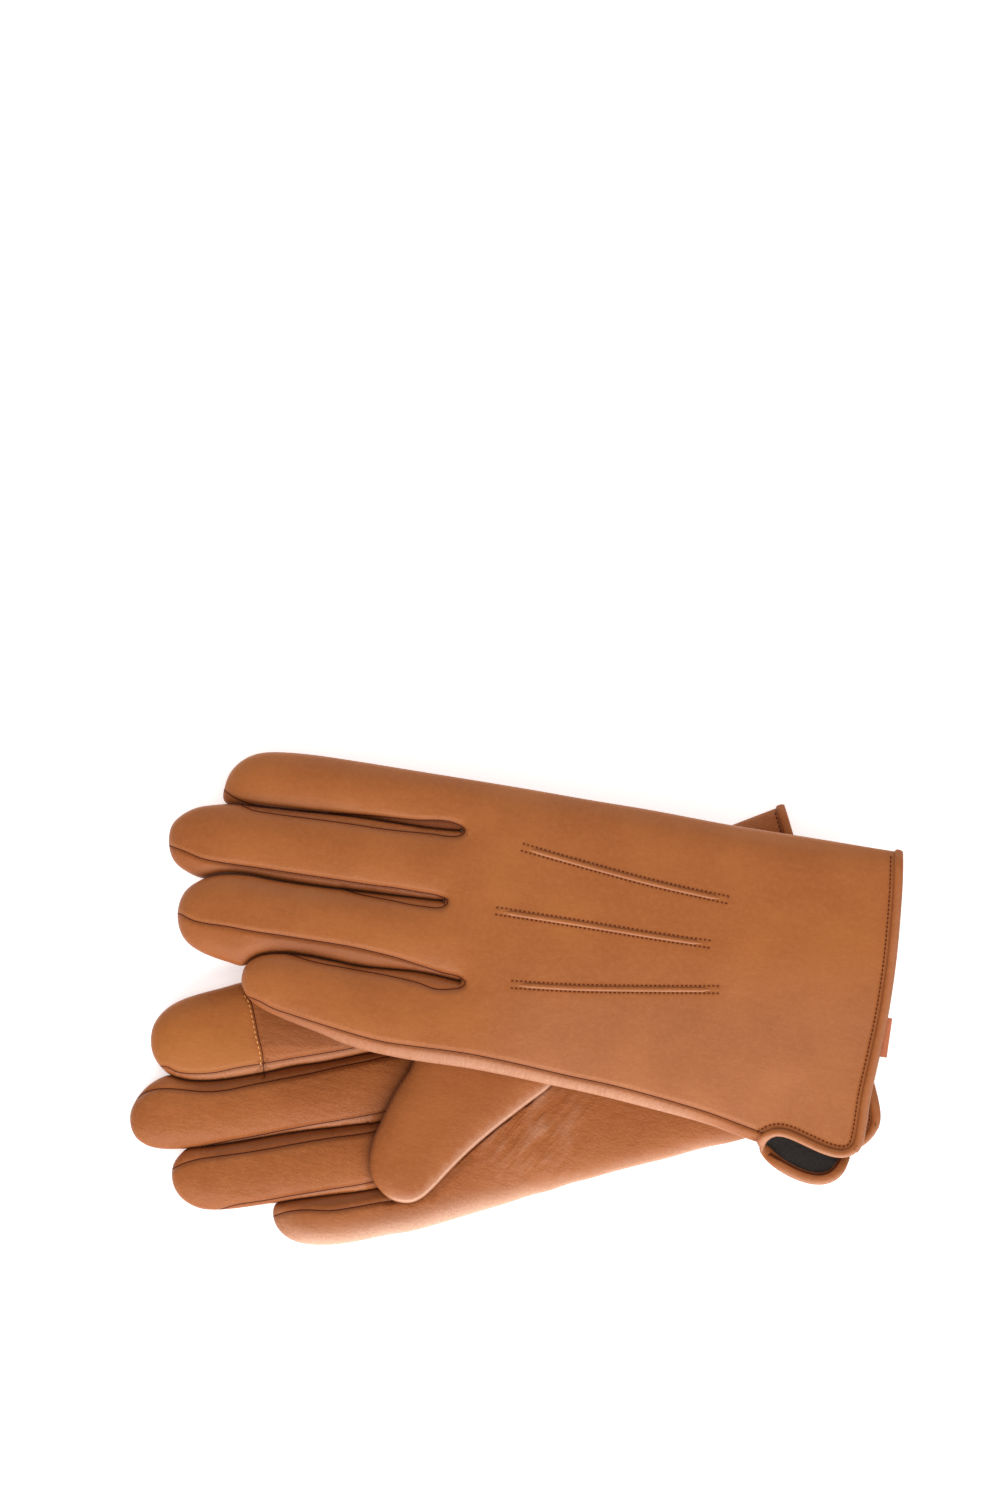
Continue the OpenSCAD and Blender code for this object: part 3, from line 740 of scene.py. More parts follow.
def make_sheet(side, face, plan, closed, opened, seams, splits, guides, lattice, rows):
    """One sheet of a glove's hand and fingers: its mesh, swell, seam distances and shade."""
    sheet = plan_mesh(closed, opened, seams, splits, lattice, guides)
    p = sheet["p"]
    sheet["patch"] = patches(sheet)
    swell = solve_swell(sheet, REACH["hand"])
    finger = finger_index(side, p, plan)
    ds, ss = seam_fields(p, seams)
    row_d, along = seam_fields(p, rows)
    m = row_d + ROW_IS_FAINTER < ds
    ds, ss = np.where(m, row_d + ROW_IS_FAINTER, ds), np.where(m, along + 500, ss)
    dc, do = to_line(p, closed)[0], to_line(p, opened)[0]
    forks = fork_shade(side, plan, p)
    # painted shade along the rows of stitches, then beside the binding's edge
    deep = np.maximum(forks, ROW_SHADE * fall(row_d, 0.4))
    deep = np.where((forks < 0) & (deep < 0.05), forks, deep)
    hem = HEM_SHADE * (1 - ramp(do, BIND_W["hem"] + 0.15, BIND_W["hem"] + 0.85))
    deep = np.where(hem > 0.02, np.maximum(deep, hem), deep)
    if face == "top" and side == "right":
        dark = thumb_contact_shadow(p)
        deep = np.where(dark > 0.04, np.maximum(deep, dark), deep)
        # painted shade: the index and the palm beside it lie in the shade of the left glove
        shaded = (finger == 0) | ((finger < 0) & (p[:, 0] < -30) & (p[:, 1] > -16))
        under = np.maximum(deep, UNDER_LEFT * ramp(p[:, 0], -90, -84))
        deep = np.where(shaded & (deep > -0.01), under, deep)
    # the painted pale shine along the little finger's side
    shine = strip_shade(side, face, plan, p, dc)
    deep = np.where(((deep < 0.02) | (shine < -0.05)) & (deep <= 0.3), deep + shine, deep)
    # the fingers are rounder than the hand
    gain = np.ones(len(p))
    for k, f in enumerate(FINGERS):
        at, out = hinge(side, f)
        m = finger == k
        gain[m] = 1 + 0.24 * ramp((p[m] - at) @ out, -2, 30)
    sheet.update(seam_d=ds, seam_s=ss, edge_d=dc, open_d=do, row_d=row_d, deep=deep,
                 finger=finger, high=swell * FULL * gain)
    return sheet


def lift(sheet, side, soft):
    """Heights of one sheet over the glove's middle, and the height of that middle."""
    p, row_d = sheet["p"], sheet["row_d"]
    cuff = 1 - CUFF_FLATTER * (1 - ramp(sheet["open_d"], 0, CUFF_FROM))
    high = sheet["high"] * soft * cuff
    ds = np.where(sheet["seam_d"] == row_d + ROW_IS_FAINTER, FAR, sheet["seam_d"])
    relief = (-GROOVE * fall(ds, 0.6) + PUFF * fall(ds - 1.7, 1.0)) * np.clip(high / 2.2, 0, 1)
    relief = relief - 0.1 * fall(row_d, 0.5)
    uneven = (0.30 * lattice_noise(p, 26, 1 + len(side)) + 0.14 * lattice_noise(p, 11, 7)
              + 0.05 * lattice_noise(p, 5.2, 3)) * np.clip(high / 5, 0, 1)
    z = high + relief + uneven + sheet.get("extra", 0)
    return z, sum(HAND_Z[side]) / 2 - drop_field(side, p, sheet["finger"])


def smooth_normals(parts):
    """Vertex normals over several sheets together, so that their joins don't show."""
    co = np.vstack([p["co"] for p in parts])
    first = np.cumsum([0] + [len(p["co"]) for p in parts])
    tri = np.vstack([p["t"] + o for p, o in zip(parts, first)])
    same = np.unique(np.round(co, 2), axis=0, return_inverse=True)[1].ravel()
    fn = cross_of(co, tri)
    acc = np.zeros((same.max() + 1, 3))
    for i in range(3):
        for k in range(3):
            acc[:, k] += np.bincount(same[tri[:, i]], fn[:, k], len(acc))
    acc /= np.maximum(np.linalg.norm(acc, axis=1), 1e-12)[:, None]
    for p, o in zip(parts, first):
        p["n"] = acc[same[o:o + len(p["co"])]]


# ---- pieces -----------------------------------------------------------------------------

class Piece:
    """Gathers the geometry of one visible piece, in mm."""

    def __init__(self):
        self.v, self.n, self.seam, self.deep = [], [], [], []
        self.f, self.m, self.count = [], [], 0

    def add(self, co, faces, normals, seam=None, mat=0, deep=0.0):
        co = np.asarray(co, float)
        if seam is None:
            seam = np.tile([FAR, 0.0, FAR], (len(co), 1))
        self.v.append(co)
        self.n.append(normals)
        self.seam.append(seam)
        self.deep.append(np.broadcast_to(deep, len(co)))
        self.f += [tuple(int(i) + self.count for i in f) for f in faces]
        self.m += [mat] * len(faces)
        self.count += len(co)

    def add_part(self, sheet, mask):
        used, inv = np.unique(sheet["t"][mask], return_inverse=True)
        seam = np.stack([sheet["seam_d"], sheet["seam_s"], sheet["edge_d"]], 1)[used]
        deep = sheet["deep"][used] if "deep" in sheet else 0.0
        self.add(sheet["co"][used], inv.reshape(-1, 3), sheet["n"][used], seam, deep=deep)

    def make(self, name, mats):
        co = np.vstack(self.v)
        mesh = bpy.data.meshes.new(name)
        mesh.from_pydata((co * MM).tolist(), [], self.f)
        for m in mats:
            mesh.materials.append(m)
        mesh.polygons.foreach_set("material_index", self.m)
        mesh.polygons.foreach_set("use_smooth", [True] * len(self.f))
        for key, kind, field, values in (("rest", "FLOAT_VECTOR", "vector", co),
                                         ("seam", "FLOAT_VECTOR", "vector", np.vstack(self.seam)),
                                         ("deep", "FLOAT", "value", np.concatenate(self.deep))):
            attribute = mesh.attributes.new(key, kind, "POINT")
            attribute.data.foreach_set(field, values.astype(np.float32).ravel())
        mesh.normals_split_custom_set_from_vertices(np.vstack(self.n).tolist())
        mesh.update()
        o = bpy.data.objects.new(name, mesh)
        bpy.context.scene.collection.objects.link(o)
        return o


def sweep(path, wide, half_w, half_t, sides, power=1.0):
    """An oval band along a path: wide is the direction of its width at each point."""
    t = unit(np.gradient(path, axis=0))
    w = unit(wide - (wide * t).sum(1)[:, None] * t)
    n = np.cross(t, w)
    half_w = np.broadcast_to(half_w, len(path))[:, None]
    half_t = np.broadcast_to(half_t, len(path))[:, None]
    co, no = [], []
    for a in np.linspace(0, 2 * math.pi, sides, endpoint=False):
        c, s = math.cos(a), math.sin(a)
        cx, sx = np.sign(c) * abs(c) ** power, np.sign(s) * abs(s) ** power
        co.append(path + w * half_w * cx + n * half_t * sx)
        no.append(unit(w * c / half_w + n * s / half_t))
    co, no = np.stack(co, 1), np.stack(no, 1)
    faces = tube_faces(len(path), sides)
    return co.reshape(-1, 3), faces, no.reshape(-1, 3)


def tube_faces(rings, sides):
    """The quads between rings of points, one ring after another, and the two end faces."""
    last = (rings - 1) * sides
    return [(i + j, i + (j + 1) % sides, i + sides + (j + 1) % sides, i + sides + j)
            for i in range(0, last, sides) for j in range(sides)] + [
        tuple(reversed(range(sides))), tuple(range(last, last + sides))]


STITCH_RISE = 0.02
STITCH_RINGS = ((0.0, 0.35), (0.12, 0.8), (0.35, 1.0), (0.65, 1.0), (0.88, 0.8), (1.0, 0.35))


def capsule(a, b, up, r):
    """One stitch: a short, slightly flat and rounded thread from a to b."""
    t = unit(b - a)
    s = unit(np.cross(t, up))
    u = np.cross(s, t)
    co, no = [], []
    for along, rr in STITCH_RINGS:
        c = a + (b - a) * along + u * r * 0.5 * math.sin(math.pi * along)
        for k in range(6):
            w = math.pi / 3 * k
            d = s * math.cos(w) + u * math.sin(w) * 0.7
            co.append(c + d * r * rr)
            no.append(unit(d))
    faces = [f[:1] + f[:0:-1] for f in tube_faces(len(STITCH_RINGS), 6)]
    return np.array(co), faces, np.array(no)


def surface(sheet):
    """A lookup from plan to the 3-D surface of a sheet: point and normal."""
    tree = BVHTree.FromPolygons(sheet["co"].tolist(), sheet["t"].tolist())
    sign = 1 if sheet["up"] else -1

    def at(x, y):
        hit, n = tree.ray_cast(Vector((x, y, 200.0 * sign)), Vector((0, 0, -1.0 * sign)))[:2]
        if hit is None:
            hit, n = tree.find_nearest(Vector((x, y, 26)))[:2]
        n = np.array(n)
        return np.array(hit), -n if n[2] * sign < 0 else n

    return at


def stitch_row(piece, line, at, kind, mat=1):
    """A row of stitches laid on a surface along a plan line."""
    pitch, length, r = STITCHES[kind]
    pts = resample(line, pitch)
    for p, d in zip(pts, unit(np.gradient(pts, axis=0))):
        (a, n0), (b, n1) = (at(*(p + d * length * by)) for by in (-0.5, 0.5))
        n = unit(n0 + n1)
        if 0.1 <= np.linalg.norm(a - b) <= 2.5 * length:
            piece.add(*capsule(a + n * STITCH_RISE, b + n * STITCH_RISE, n, r), mat=mat)


# ---- materials ----------------------------------------------------------------------------

def rgb(r, g, b):
    """An sRGB colour, 0 to 255, as a linear one."""
    return tuple((c / 255 / 12.92 if c / 255 <= 0.04045 else ((c / 255 + 0.055) / 1.055) ** 2.4)
                 for c in (r, g, b)) + (1.0,)


class Nodes:
    """A short way to build a node tree."""

    def __init__(self, name, **finish):
        self.mat = bpy.data.materials.new(name)
        self.mat.use_nodes = True
        self.tree = self.mat.node_tree
        self.bsdf = self.tree.nodes["Principled BSDF"]
        for key, value in finish.items():
            self.bsdf.inputs[key.replace("_", " ")].default_value = value

    def new(self, kind, **values):
        n = self.tree.nodes.new(kind)
        for k, v in values.items():
            if hasattr(n, k):
                setattr(n, k, v)
            else:
                n.inputs[k].default_value = v
        return n

    def link(self, a, b):
        self.tree.links.new(a, b)

    def math(self, op, a, b, clamp=False):
        n = self.new("ShaderNodeMath", operation=op, use_clamp=clamp)
        for i, x in enumerate((a, b)):
            if isinstance(x, (int, float)):
                n.inputs[i].default_value = x
            else:
                self.link(x, n.inputs[i])
        return n.outputs[0]

    def times(self, a, b, clamp=False):
        return self.math("MULTIPLY", a, b, clamp)

    def attr(self, name, output="Vector"):
        return self.new("ShaderNodeAttribute", attribute_name=name).outputs[output]

    def noise(self, vector, scale, detail=2.0, rough=0.5):
        n = self.new("ShaderNodeTexNoise", Scale=scale, Detail=detail, Roughness=rough)
        self.link(vector, n.inputs["Vector"])
        return n.outputs["Fac"]

    def map(self, x, a, b, c=0.0, d=1.0, smooth=True):
        n = self.new("ShaderNodeMapRange", interpolation_type="SMOOTHSTEP" if smooth else "LINEAR")
        for k, v in zip(("From Min", "From Max", "To Min", "To Max"), (a, b, c, d)):
            n.inputs[k].default_value = v
        self.link(x, n.inputs["Value"])
        return n.outputs["Result"]

    def mix(self, fac, a, b):
        n = self.new("ShaderNodeMix", data_type="RGBA")
        for sock, x in ((n.inputs[0], fac), (n.inputs[6], a), (n.inputs[7], b)):
            if isinstance(x, (int, float, tuple)):
                sock.default_value = x
            else:
                self.link(x, sock)
        return n.outputs[2]

    def turned(self, vector, degrees, scale):
        """The vector in stretched axes that are turned about z."""
        n = self.new("ShaderNodeMapping", vector_type="TEXTURE",
                     Rotation=(0, 0, math.radians(degrees)), Scale=scale)
        self.link(vector, n.inputs["Vector"])
        return n.outputs["Vector"]

    def colour(self, x):
        self.link(x, self.bsdf.inputs["Base Color"])

    def bump(self, height, distance):
        n = self.new("ShaderNodeBump", Distance=distance)
        self.link(height, n.inputs["Height"])
        self.link(n.outputs["Normal"], self.bsdf.inputs["Normal"])


def leather(name, base, dark, light, rough=0.47, grain=1.0, crease=0.0, folds=False):
    """Nappa leather, with painted light from an attribute: above 0 it paints shade, below 0 a pale
    shine.
    """
    m = Nodes(name, Specular_IOR_Level=0.3, Specular_Tint=(1.0, 0.84, 0.72, 1.0),
              Sheen_Weight=0.05, Sheen_Roughness=0.35, Sheen_Tint=(1.0, 0.80, 0.68, 1.0))
    rest, deep = m.attr("rest"), m.attr("deep", "Fac")
    sep = m.new("ShaderNodeSeparateXYZ")
    m.link(m.attr("seam"), sep.inputs[0])
    seam_d, seam_s, _ = sep.outputs
    fine = m.noise(rest, 0.6, 4.0, 0.6)
    col = m.mix(m.map(m.noise(rest, 0.045, 3.0, 0.55), 0.32, 0.72), dark, base)
    col = m.mix(m.map(fine, 0.35, 0.75, 0.0, 0.32), col, light)
    # painted shade on the leather beside each seam
    col = m.mix(m.map(seam_d, 0.0, 1.4, 0.22, 0.0), col, SEAM_SIDE_SHADE)
    # short pleats that run out from the seams
    pleat = m.new("ShaderNodeCombineXYZ")
    m.link(m.times(seam_s, 1.25), pleat.inputs[0])
    m.link(m.times(seam_d, 0.16), pleat.inputs[1])
    wave = m.math("SUBTRACT", m.noise(pleat.outputs[0], 1.0, 2.0, 0.6), 0.5)
    wave = m.times(wave, m.map(seam_d, 3.0, 7.0, 1.0, 0.0))
    # the painted pale shine, broken up by the pleats, then the painted shade, and each seam's line
    # painted dark as the shade in its groove
    lit = m.times(deep, -1.0, clamp=True)
    broken = m.math("ADD", m.times(wave, 0.8), m.noise(rest, 1.3, 3.0, 0.7))
    col = m.mix(m.times(lit, m.map(broken, 0.25, 0.8, 0.75, 1.25), clamp=True), col, PAINTED_SHINE)
    col = m.mix(m.times(deep, 1.0, clamp=True), col, PAINTED_SHADE)
    line = m.map(seam_d, 0.10, 0.30, 0.9, 0.0)
    col = m.mix(line, col, SEAM_GROOVE_SHADE)
    rr = m.map(fine, 0.3, 0.7, rough - 0.04, rough + 0.05, smooth=False)
    rr = m.math("MAXIMUM", rr, m.math("MAXIMUM", line, m.times(deep, 1.1)), clamp=True)
    m.link(rr, m.bsdf.inputs["Roughness"])
    # relief: grain and pores, slack leather, and the pleats
    cells = m.new("ShaderNodeTexVoronoi", feature="SMOOTH_F1", Scale=1.25, Smoothness=0.6)
    m.link(rest, cells.inputs["Vector"])
    height = m.math("ADD", m.times(cells.outputs["Distance"], 0.05 * grain),
                    m.times(m.noise(rest, 2.6, 3.0, 0.6), 0.045 * grain))
    slack = m.noise(m.turned(rest, -12, (3.0, 1.0, 1.5)), 0.28, 3.0, 0.6)
    height = m.math("ADD", height, m.times(slack, 0.18 + crease))
    near = m.times(m.map(seam_d, 0.3, 1.6, 0.35, 0.0), m.map(seam_d, 0.1, 0.5))
    near = m.math("MAXIMUM", near, m.times(lit, m.map(seam_d, 1.5, 6.0, 1.9, 0.0)))
    height = m.math("ADD", height, m.times(wave, near))
    if folds:
        fold = m.noise(m.turned(rest, 50, (11.0, 3.2, 9.0)), 1.0, 2.0, 0.5)
        far = m.new("ShaderNodeVectorMath", operation="DISTANCE")
        m.link(rest, far.inputs[0])
        far.inputs[1].default_value = FOLDS_AT
        here = m.map(far.outputs["Value"], 4.0, 30.0, 1.0, 0.0)
        height = m.math("ADD", height, m.times(here, m.times(fold, 1.3)))
        # pale streaks painted along the folds: a painted highlight on their ridges
        col = m.mix(m.times(here, m.map(fold, 0.4, 0.85, 0.0, 0.17)), col, PAINTED_SHINE)
    m.colour(col)
    m.bump(height, MM)
    return m.mat


def scaled(colour, by):
    return tuple(c * by for c in colour[:3]) + (1.0,)


def thread(name, colour):
    m = Nodes(name, Roughness=0.8, Specular_IOR_Level=0.2)
    m.colour(m.mix(m.noise(m.attr("rest"), 1.1), colour, scaled(colour, 1.5)))
    return m.mat


def fleece(name, colour):
    m = Nodes(name, Roughness=0.95, Sheen_Weight=0.25)
    fuzz = m.noise(m.attr("rest"), 1.7, 5.0, 0.7)
    m.colour(m.mix(m.map(fuzz, 0.3, 0.75), colour, scaled(colour, 2.6)))
    m.bump(fuzz, 0.5 * MM)
    return m.mat


def woven(name, colour):
    m = Nodes(name, Roughness=0.7)
    wave = m.new("ShaderNodeTexWave", wave_type="BANDS", bands_direction="Y", Scale=1.2)
    m.link(m.attr("rest"), wave.inputs["Vector"])
    rib = wave.outputs["Fac"]
    m.colour(m.mix(m.map(rib, 0.2, 0.8, 0.0, 0.35), colour, scaled(colour, 0.7)))
    m.bump(rib, 0.12 * MM)
    return m.mat


FOLDS_AT = (4.0, -41.0, 8.0)
# the colours of the painted shade and of the painted pale shine
PAINTED_SHADE, PAINTED_SHINE = rgb(78, 30, 9), rgb(236, 196, 172)
# the dark line along each seam and the leather beside it: painted shade in the seam's groove
SEAM_GROOVE_SHADE, SEAM_SIDE_SHADE = rgb(70, 22, 5), rgb(112, 50, 18)
LEATHER = leather("leather", rgb(162, 94, 47), rgb(153, 86, 42), rgb(170, 104, 57))
PALM = leather("palm_leather", rgb(157, 89, 44), rgb(147, 81, 39), rgb(170, 104, 60), grain=1.9,
               crease=0.14, folds=True)
# a little darker than the back's leather: painted shade for the hand's sides and the gaps between
# the fingers
SIDE_SHADED = leather("side_leather", rgb(157, 89, 44), rgb(148, 81, 39), rgb(165, 98, 52))
THUMB = leather("thumb_leather", rgb(155, 88, 43), rgb(146, 80, 38), rgb(164, 98, 53))
BIND = leather("binding_leather", rgb(162, 94, 49), rgb(153, 86, 44), rgb(174, 108, 64), rough=0.4)
TOUCH = leather("touch_leather", rgb(163, 96, 45), rgb(156, 89, 41), rgb(172, 106, 54), rough=0.5)
THREAD = thread("thread", rgb(84, 34, 12))
TOUCH_THREAD = thread("touch_thread", rgb(214, 150, 92))
FLEECE = fleece("fleece", rgb(34, 28, 25))
LABEL = woven("label_weave", rgb(206, 118, 76))


# ---- the gloves ---------------------------------------------------------------------------

def place(sheet, up, z_mid, high):
    """Gives a sheet its 3-D points; the lower sheet of a glove is turned over."""
    sheet["up"], sheet["middle"] = up, z_mid
    sheet["co"] = np.column_stack([sheet["p"], z_mid + high * (1 if up else -1)])
    if not up:
        sheet["t"] = sheet["t"][:, ::-1]


CLOSE_TO = 1.2


def close_slits(sheet, plan, by=0.14):
    """Draws the two edges of each gap between the fingers together: no light shows through."""
    for slit in plan["slits"]:
        line = spline(slit, 0.5)
        for i in np.flatnonzero(to_line(sheet["p"], line)[0] < CLOSE_TO):
            p = sheet["p"][i]
            k = nearest(line, p)
            a, b = line[max(k - 1, 0)], line[min(k + 1, len(line) - 1)]
            across = unit(np.array([-(b - a)[1], (b - a)[0]]))
            d = (p - line[k]) @ across
            share = ramp(len(line) - 1 - k, 0, 2) * (1 - min(abs(d) / CLOSE_TO, 1))
            sheet["co"][i, :2] -= across * np.sign(d) * by * share


def curl_edge(sheet, a, b, reach, by):
    """Raises the free edge of a sheet between two places along it."""
    line = between(sheet["opened"], a, b)
    d, s = to_line(sheet["p"], line)
    total = np.hypot(*np.diff(line, axis=0).T).sum()
    return by * (1 - ramp(d, 0, reach)) * window(s, 0, 8, total - 8, total)


def hem_row(closed, opened, by):
    """The line of the stitches that hold the binding."""
    outline = np.vstack([closed, opened[1:-1]])
    sign = 1 if inside(shifted(opened, 1)[len(opened) // 2][None], outline)[0] else -1
    row = smooth_path(shifted(opened, sign * by)[3:-2], 6)
    return row[inside(row, outline) & (to_line(row, opened)[0] > by - 0.5)]


def low_strip(side, closed):
    """The lower sheet's own strip along the little-finger edge."""
    ends = ((-62, -13), (70, -43.8)) if side == "left" else ((-60, -82), (80, -46))
    edge = between(closed, *ends)
    last = len(edge) - 1
    return shifted(edge, STRIP_WIDE * window(np.arange(last + 1), 0, 12, last - 13, last) - 0.3)


PAD_SEAM_X = -66                # the left touch patch, on its palm side, lies beyond this line
RIGHT_THUMB_COVERS = 5.6        # the palm's greatest height over the middle under the thumb
CLEAR_OF_FLOOR = 0.35
GLOVES = {}
for side, plan in (("left", LEFT), ("right", RIGHT)):
    closed, top_open, low_open = glove_edges(plan)
    plan["closed"] = closed
    seams = [long_ends(spline(s, SEAM_STEP)) for s in plan["seams"]]
    splits = [long_ends(resample(s, 1.2), 0.4) for s in plan["splits"]]
    top_seams, low_seams = list(seams), list(seams[:3])
    top_row, low_row = (hem_row(closed, o, ROW_AT[side]) for o in (top_open, low_open))
    rows = [top_row]
    if side == "left":
        guides = [spline(p, SEAM_STEP) for p in POINTS]
        pad_seam = [(PAD_SEAM_X - 0.5, 82), (PAD_SEAM_X, 72), (PAD_SEAM_X + 1, 61)]
        low_seams.append(long_ends(resample(pad_seam, SEAM_STEP)))
        low_splits = splits
        rows += [shifted(line, by) for line in guides for by in (ROW_GAP, -ROW_GAP)]
    else:
        guides = [spline(THUMBS["right"], EDGE_STEP)]
        top_seams.append(long_ends(spline(PATCH_SEAM, SEAM_STEP)))
        splits = splits[1:]
        low_splits = [top_seams[-1]] + splits
    low_seams.append(low_strip(side, closed))
    top = make_sheet(side, "top", plan, closed, top_open, top_seams, splits,
                     guides + [top_row], LATTICE["top"], rows)
    low = make_sheet(side, "low", plan, closed, low_open, low_seams, low_splits,
                     [low_row], LATTICE["low"], [low_row])
    top["hem_row"], low["hem_row"] = top_row, low_row
    if side == "left":
        low["extra"] = -curl_edge(low, (82, -49), (110, -50), reach=9.0, by=3.6)
    high, mid = lift(top, side, SOFT[side])
    if side == "right":
        under = inside(top["p"], spline(THUMBS["right"], 2, closed=True))
        high = np.where(under, np.minimum(high, RIGHT_THUMB_COVERS), high)
    place(top, True, mid, high)
    high, mid = lift(low, side, SOFT_LOW)
    if side == "right":
        high = np.minimum(high, mid - CLEAR_OF_FLOOR)
    place(low, False, mid, high)
    smooth_normals([top, low])
    close_slits(top, plan)
    close_slits(low, plan)
    GLOVES[side] = dict(plan=plan, top=top, low=low, closed=closed)


PAD_AREA, PALM_AREA = 250, 150      # smaller patches of the index are its side strips


def name_patches(side, sheet, is_top):
    """The CAD node that each triangle stands for."""
    c = sheet["p"][sheet["t"]].mean(1)
    area = 0.5 * np.abs(cross_of(sheet["p"], sheet["t"]))
    zone = finger_index(side, c, GLOVES[side]["plan"])
    face = "back" if (side == "left") == is_top else "palm"
    names = np.empty(len(c), object)
    by_zone = {}
    for i in np.unique(sheet["patch"]):
        m = sheet["patch"] == i
        by_zone.setdefault(int(round(np.median(zone[m]))), []).append((area[m].sum(), i))
    for z, items in by_zone.items():
        for rank, (a, i) in enumerate(sorted(items, reverse=True)):
            m = sheet["patch"] == i
            if z < 0:
                n = f"{side}_{face}_panel" if rank == 0 else f"{side}_hand_sides"
            else:
                n = f"{side}_{FINGERS[z]}_{face if rank == 0 else 'forks'}"
            if face == "palm" and z == 0:
                if a > PAD_AREA and (side == "right" or c[m].mean(0)[0] < PAD_SEAM_X):
                    n = f"{side}_index_touch_pad"
                elif side == "left" and a > PALM_AREA:
                    n = "left_index_palm"
            names[m] = n
    return names


PIECES = {}


def piece(name):
    return PIECES.setdefault(name, Piece())


for side, g in GLOVES.items():
    for sheet, is_top in ((g["top"], True), (g["low"], False)):
        names = name_patches(side, sheet, is_top)
        for n in sorted(set(names)):
            piece(n).add_part(sheet, names == n)


# ---- thumbs ---------------------------------------------------------------------------------

def thumb_sheets(side):
    outline = spline(THUMBS[side], EDGE_STEP, closed=True)
    low_z, top_z = THUMB_Z[side]
    middle, half = (low_z + top_z) / 2, (top_z - low_z) / 2
    ring = shifted(outline, THUMB_STRIP_WIDE)
    found = []
    for up in (True, False):
        sheet = plan_mesh(outline, None, [] if up else [ring], [],
                          LATTICE["thumb_top" if up else "thumb_low"])
        p = sheet["p"]
        n = len(p)
        d, s = (np.full(n, FAR), np.zeros(n)) if up else to_line(p, ring)
        e = to_line(p, outline)[0]
        sheet.update(seam_d=d, seam_s=s, edge_d=e)
        high = solve_swell(sheet, REACH["thumb"]) * THUMB_FULL
        if up:
            high = high + 0.22 * lattice_noise(p, 13, 5) * np.clip(high / 4, 0, 1)
        else:
            high = np.minimum(high, half) - GROOVE * fall(d, 0.6)
        if side == "left":
            high = np.minimum(high, half - 0.1)
        place(sheet, up, np.full(n, middle), high)
        if side == "right" and up:
            # painted highlight along the right thumb's edge that faces the key light, painted shade
            # along its far edge
            face = outward(outline)[nearest_of(p, outline)] @ np.array([0.6, -0.8])
            shine = THUMB_SHINE * ramp(face, 0, 0.8) * fall(e - 0.7, 0.55)
            shade = THUMB_SHADE * ramp(-face, 0.3, 0.9) * fall(e, 1.2)
            sheet["deep"] = np.where(face > 0, -shine, shade)
        found.append(sheet)
    smooth_normals(found)
    names = ["back", "front"]
    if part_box(f"{side}_thumb_front")[1][2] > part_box(f"{side}_thumb_back")[1][2]:
        names = ["front", "back"]
    top, low = found
    piece(f"{side}_thumb_{names[0]}").add_part(top, np.ones(len(top["t"]), bool))
    main = inside(low["p"][low["t"]].mean(1), ring)
    piece(f"{side}_thumb_{names[1]}").add_part(low, main)
    piece(f"{side}_thumb_sides").add_part(low, ~main)
    return dict(top=top, low=low, outline=outline)


for side in SIDES:
    GLOVES[side]["thumb"] = thumb_sheets(side)


# ---- linings --------------------------------------------------------------------------------

def plan_tree(points):
    tree = KDTree(len(points))
    for i, (x, y) in enumerate(points):
        tree.insert((x, y, 0), i)
    tree.balance()
    return tree


def near_value(fine, values, p):
    """A sheet's values carried to other points, from the three nearest to each."""
    tree = plan_tree(fine)
    out = np.empty(len(p))
    for i, (x, y) in enumerate(p):
        hits = tree.find_n((x, y, 0), 3)
        w = [1 / (h[2] + 1e-3) for h in hits]
        out[i] = sum(values[h[1]] * x for h, x in zip(hits, w)) / sum(w)
    return out


def pulled_in(p, closed, by):
    """Draws the points near the closed edge inwards."""
    n = -outward(closed, 20, 0.5)
    along = arclength(closed)
    d, s = to_line(p, closed)
    away = np.where(d[:, None] > 0.05, p - at_length(closed, along, s), at_length(n, along, s))
    away /= np.maximum(np.linalg.norm(away, axis=1), 1e-9)[:, None]
    return p + away * (by * (1 - ramp(d, 0, 3.5)))[:, None]


LINING_IN = 0.85            # how far the lining stays inside the leather's edge
LINING_DOWN = 1.15          # the lining's depth below the leather's face
CUFF_LINING_DOWN = 0.5      # the same at the free edge, and twice it from 5 mm in


def lining(side, closed, opened, splits, sheets, part):
    """The shell of fleece inside a hand and its fingers, or inside a thumb."""
    found, zones = [], []
    for fine, free_edge, up in zip(sheets, opened, (True, False)):
        sheet = plan_mesh(closed, free_edge, [], splits, LATTICE["lining"], edge_rows=(1.3,))
        p, t = sheet["p"], sheet["t"]
        if part == "hand":
            plan = GLOVES[side]["plan"]
            mid = sum(HAND_Z[side]) / 2 - drop_field(side, p, finger_index(side, p, plan))
            zone = finger_index(side, p[t].mean(1), plan)
        else:
            mid = near_value(fine["p"], fine["middle"], p)
            zone = np.full(len(t), -1)
        up_by = (fine["co"][:, 2] - fine["middle"]) * (1 if up else -1)
        leather_at = near_value(fine["p"], up_by, p)
        d = to_line(p, closed)[0]
        high = np.where(leather_at > 1.2, leather_at - LINING_DOWN, leather_at * 0.04)
        high = np.where(d < 1e-3, 0, high)
        if free_edge is not None:
            free = to_line(p, free_edge)[0]
            signed = leather_at - CUFF_LINING_DOWN * (1 + ramp(free, 1, 5))
            high = np.where((free < 8) & (d > 3), signed, high)
        sheet["seam_d"] = sheet["seam_s"] = sheet["edge_d"] = np.full(len(p), FAR)
        sheet["p"] = pulled_in(p, closed, LINING_IN)
        place(sheet, up, mid, high)
        found.append(sheet)
        zones.append(zone)
    smooth_normals(found)
    for sheet, zone in zip(found, zones):
        for z in np.unique(zone):
            piece(f"{side}_{part if z < 0 else FINGERS[z]}_lining").add_part(sheet, zone == z)


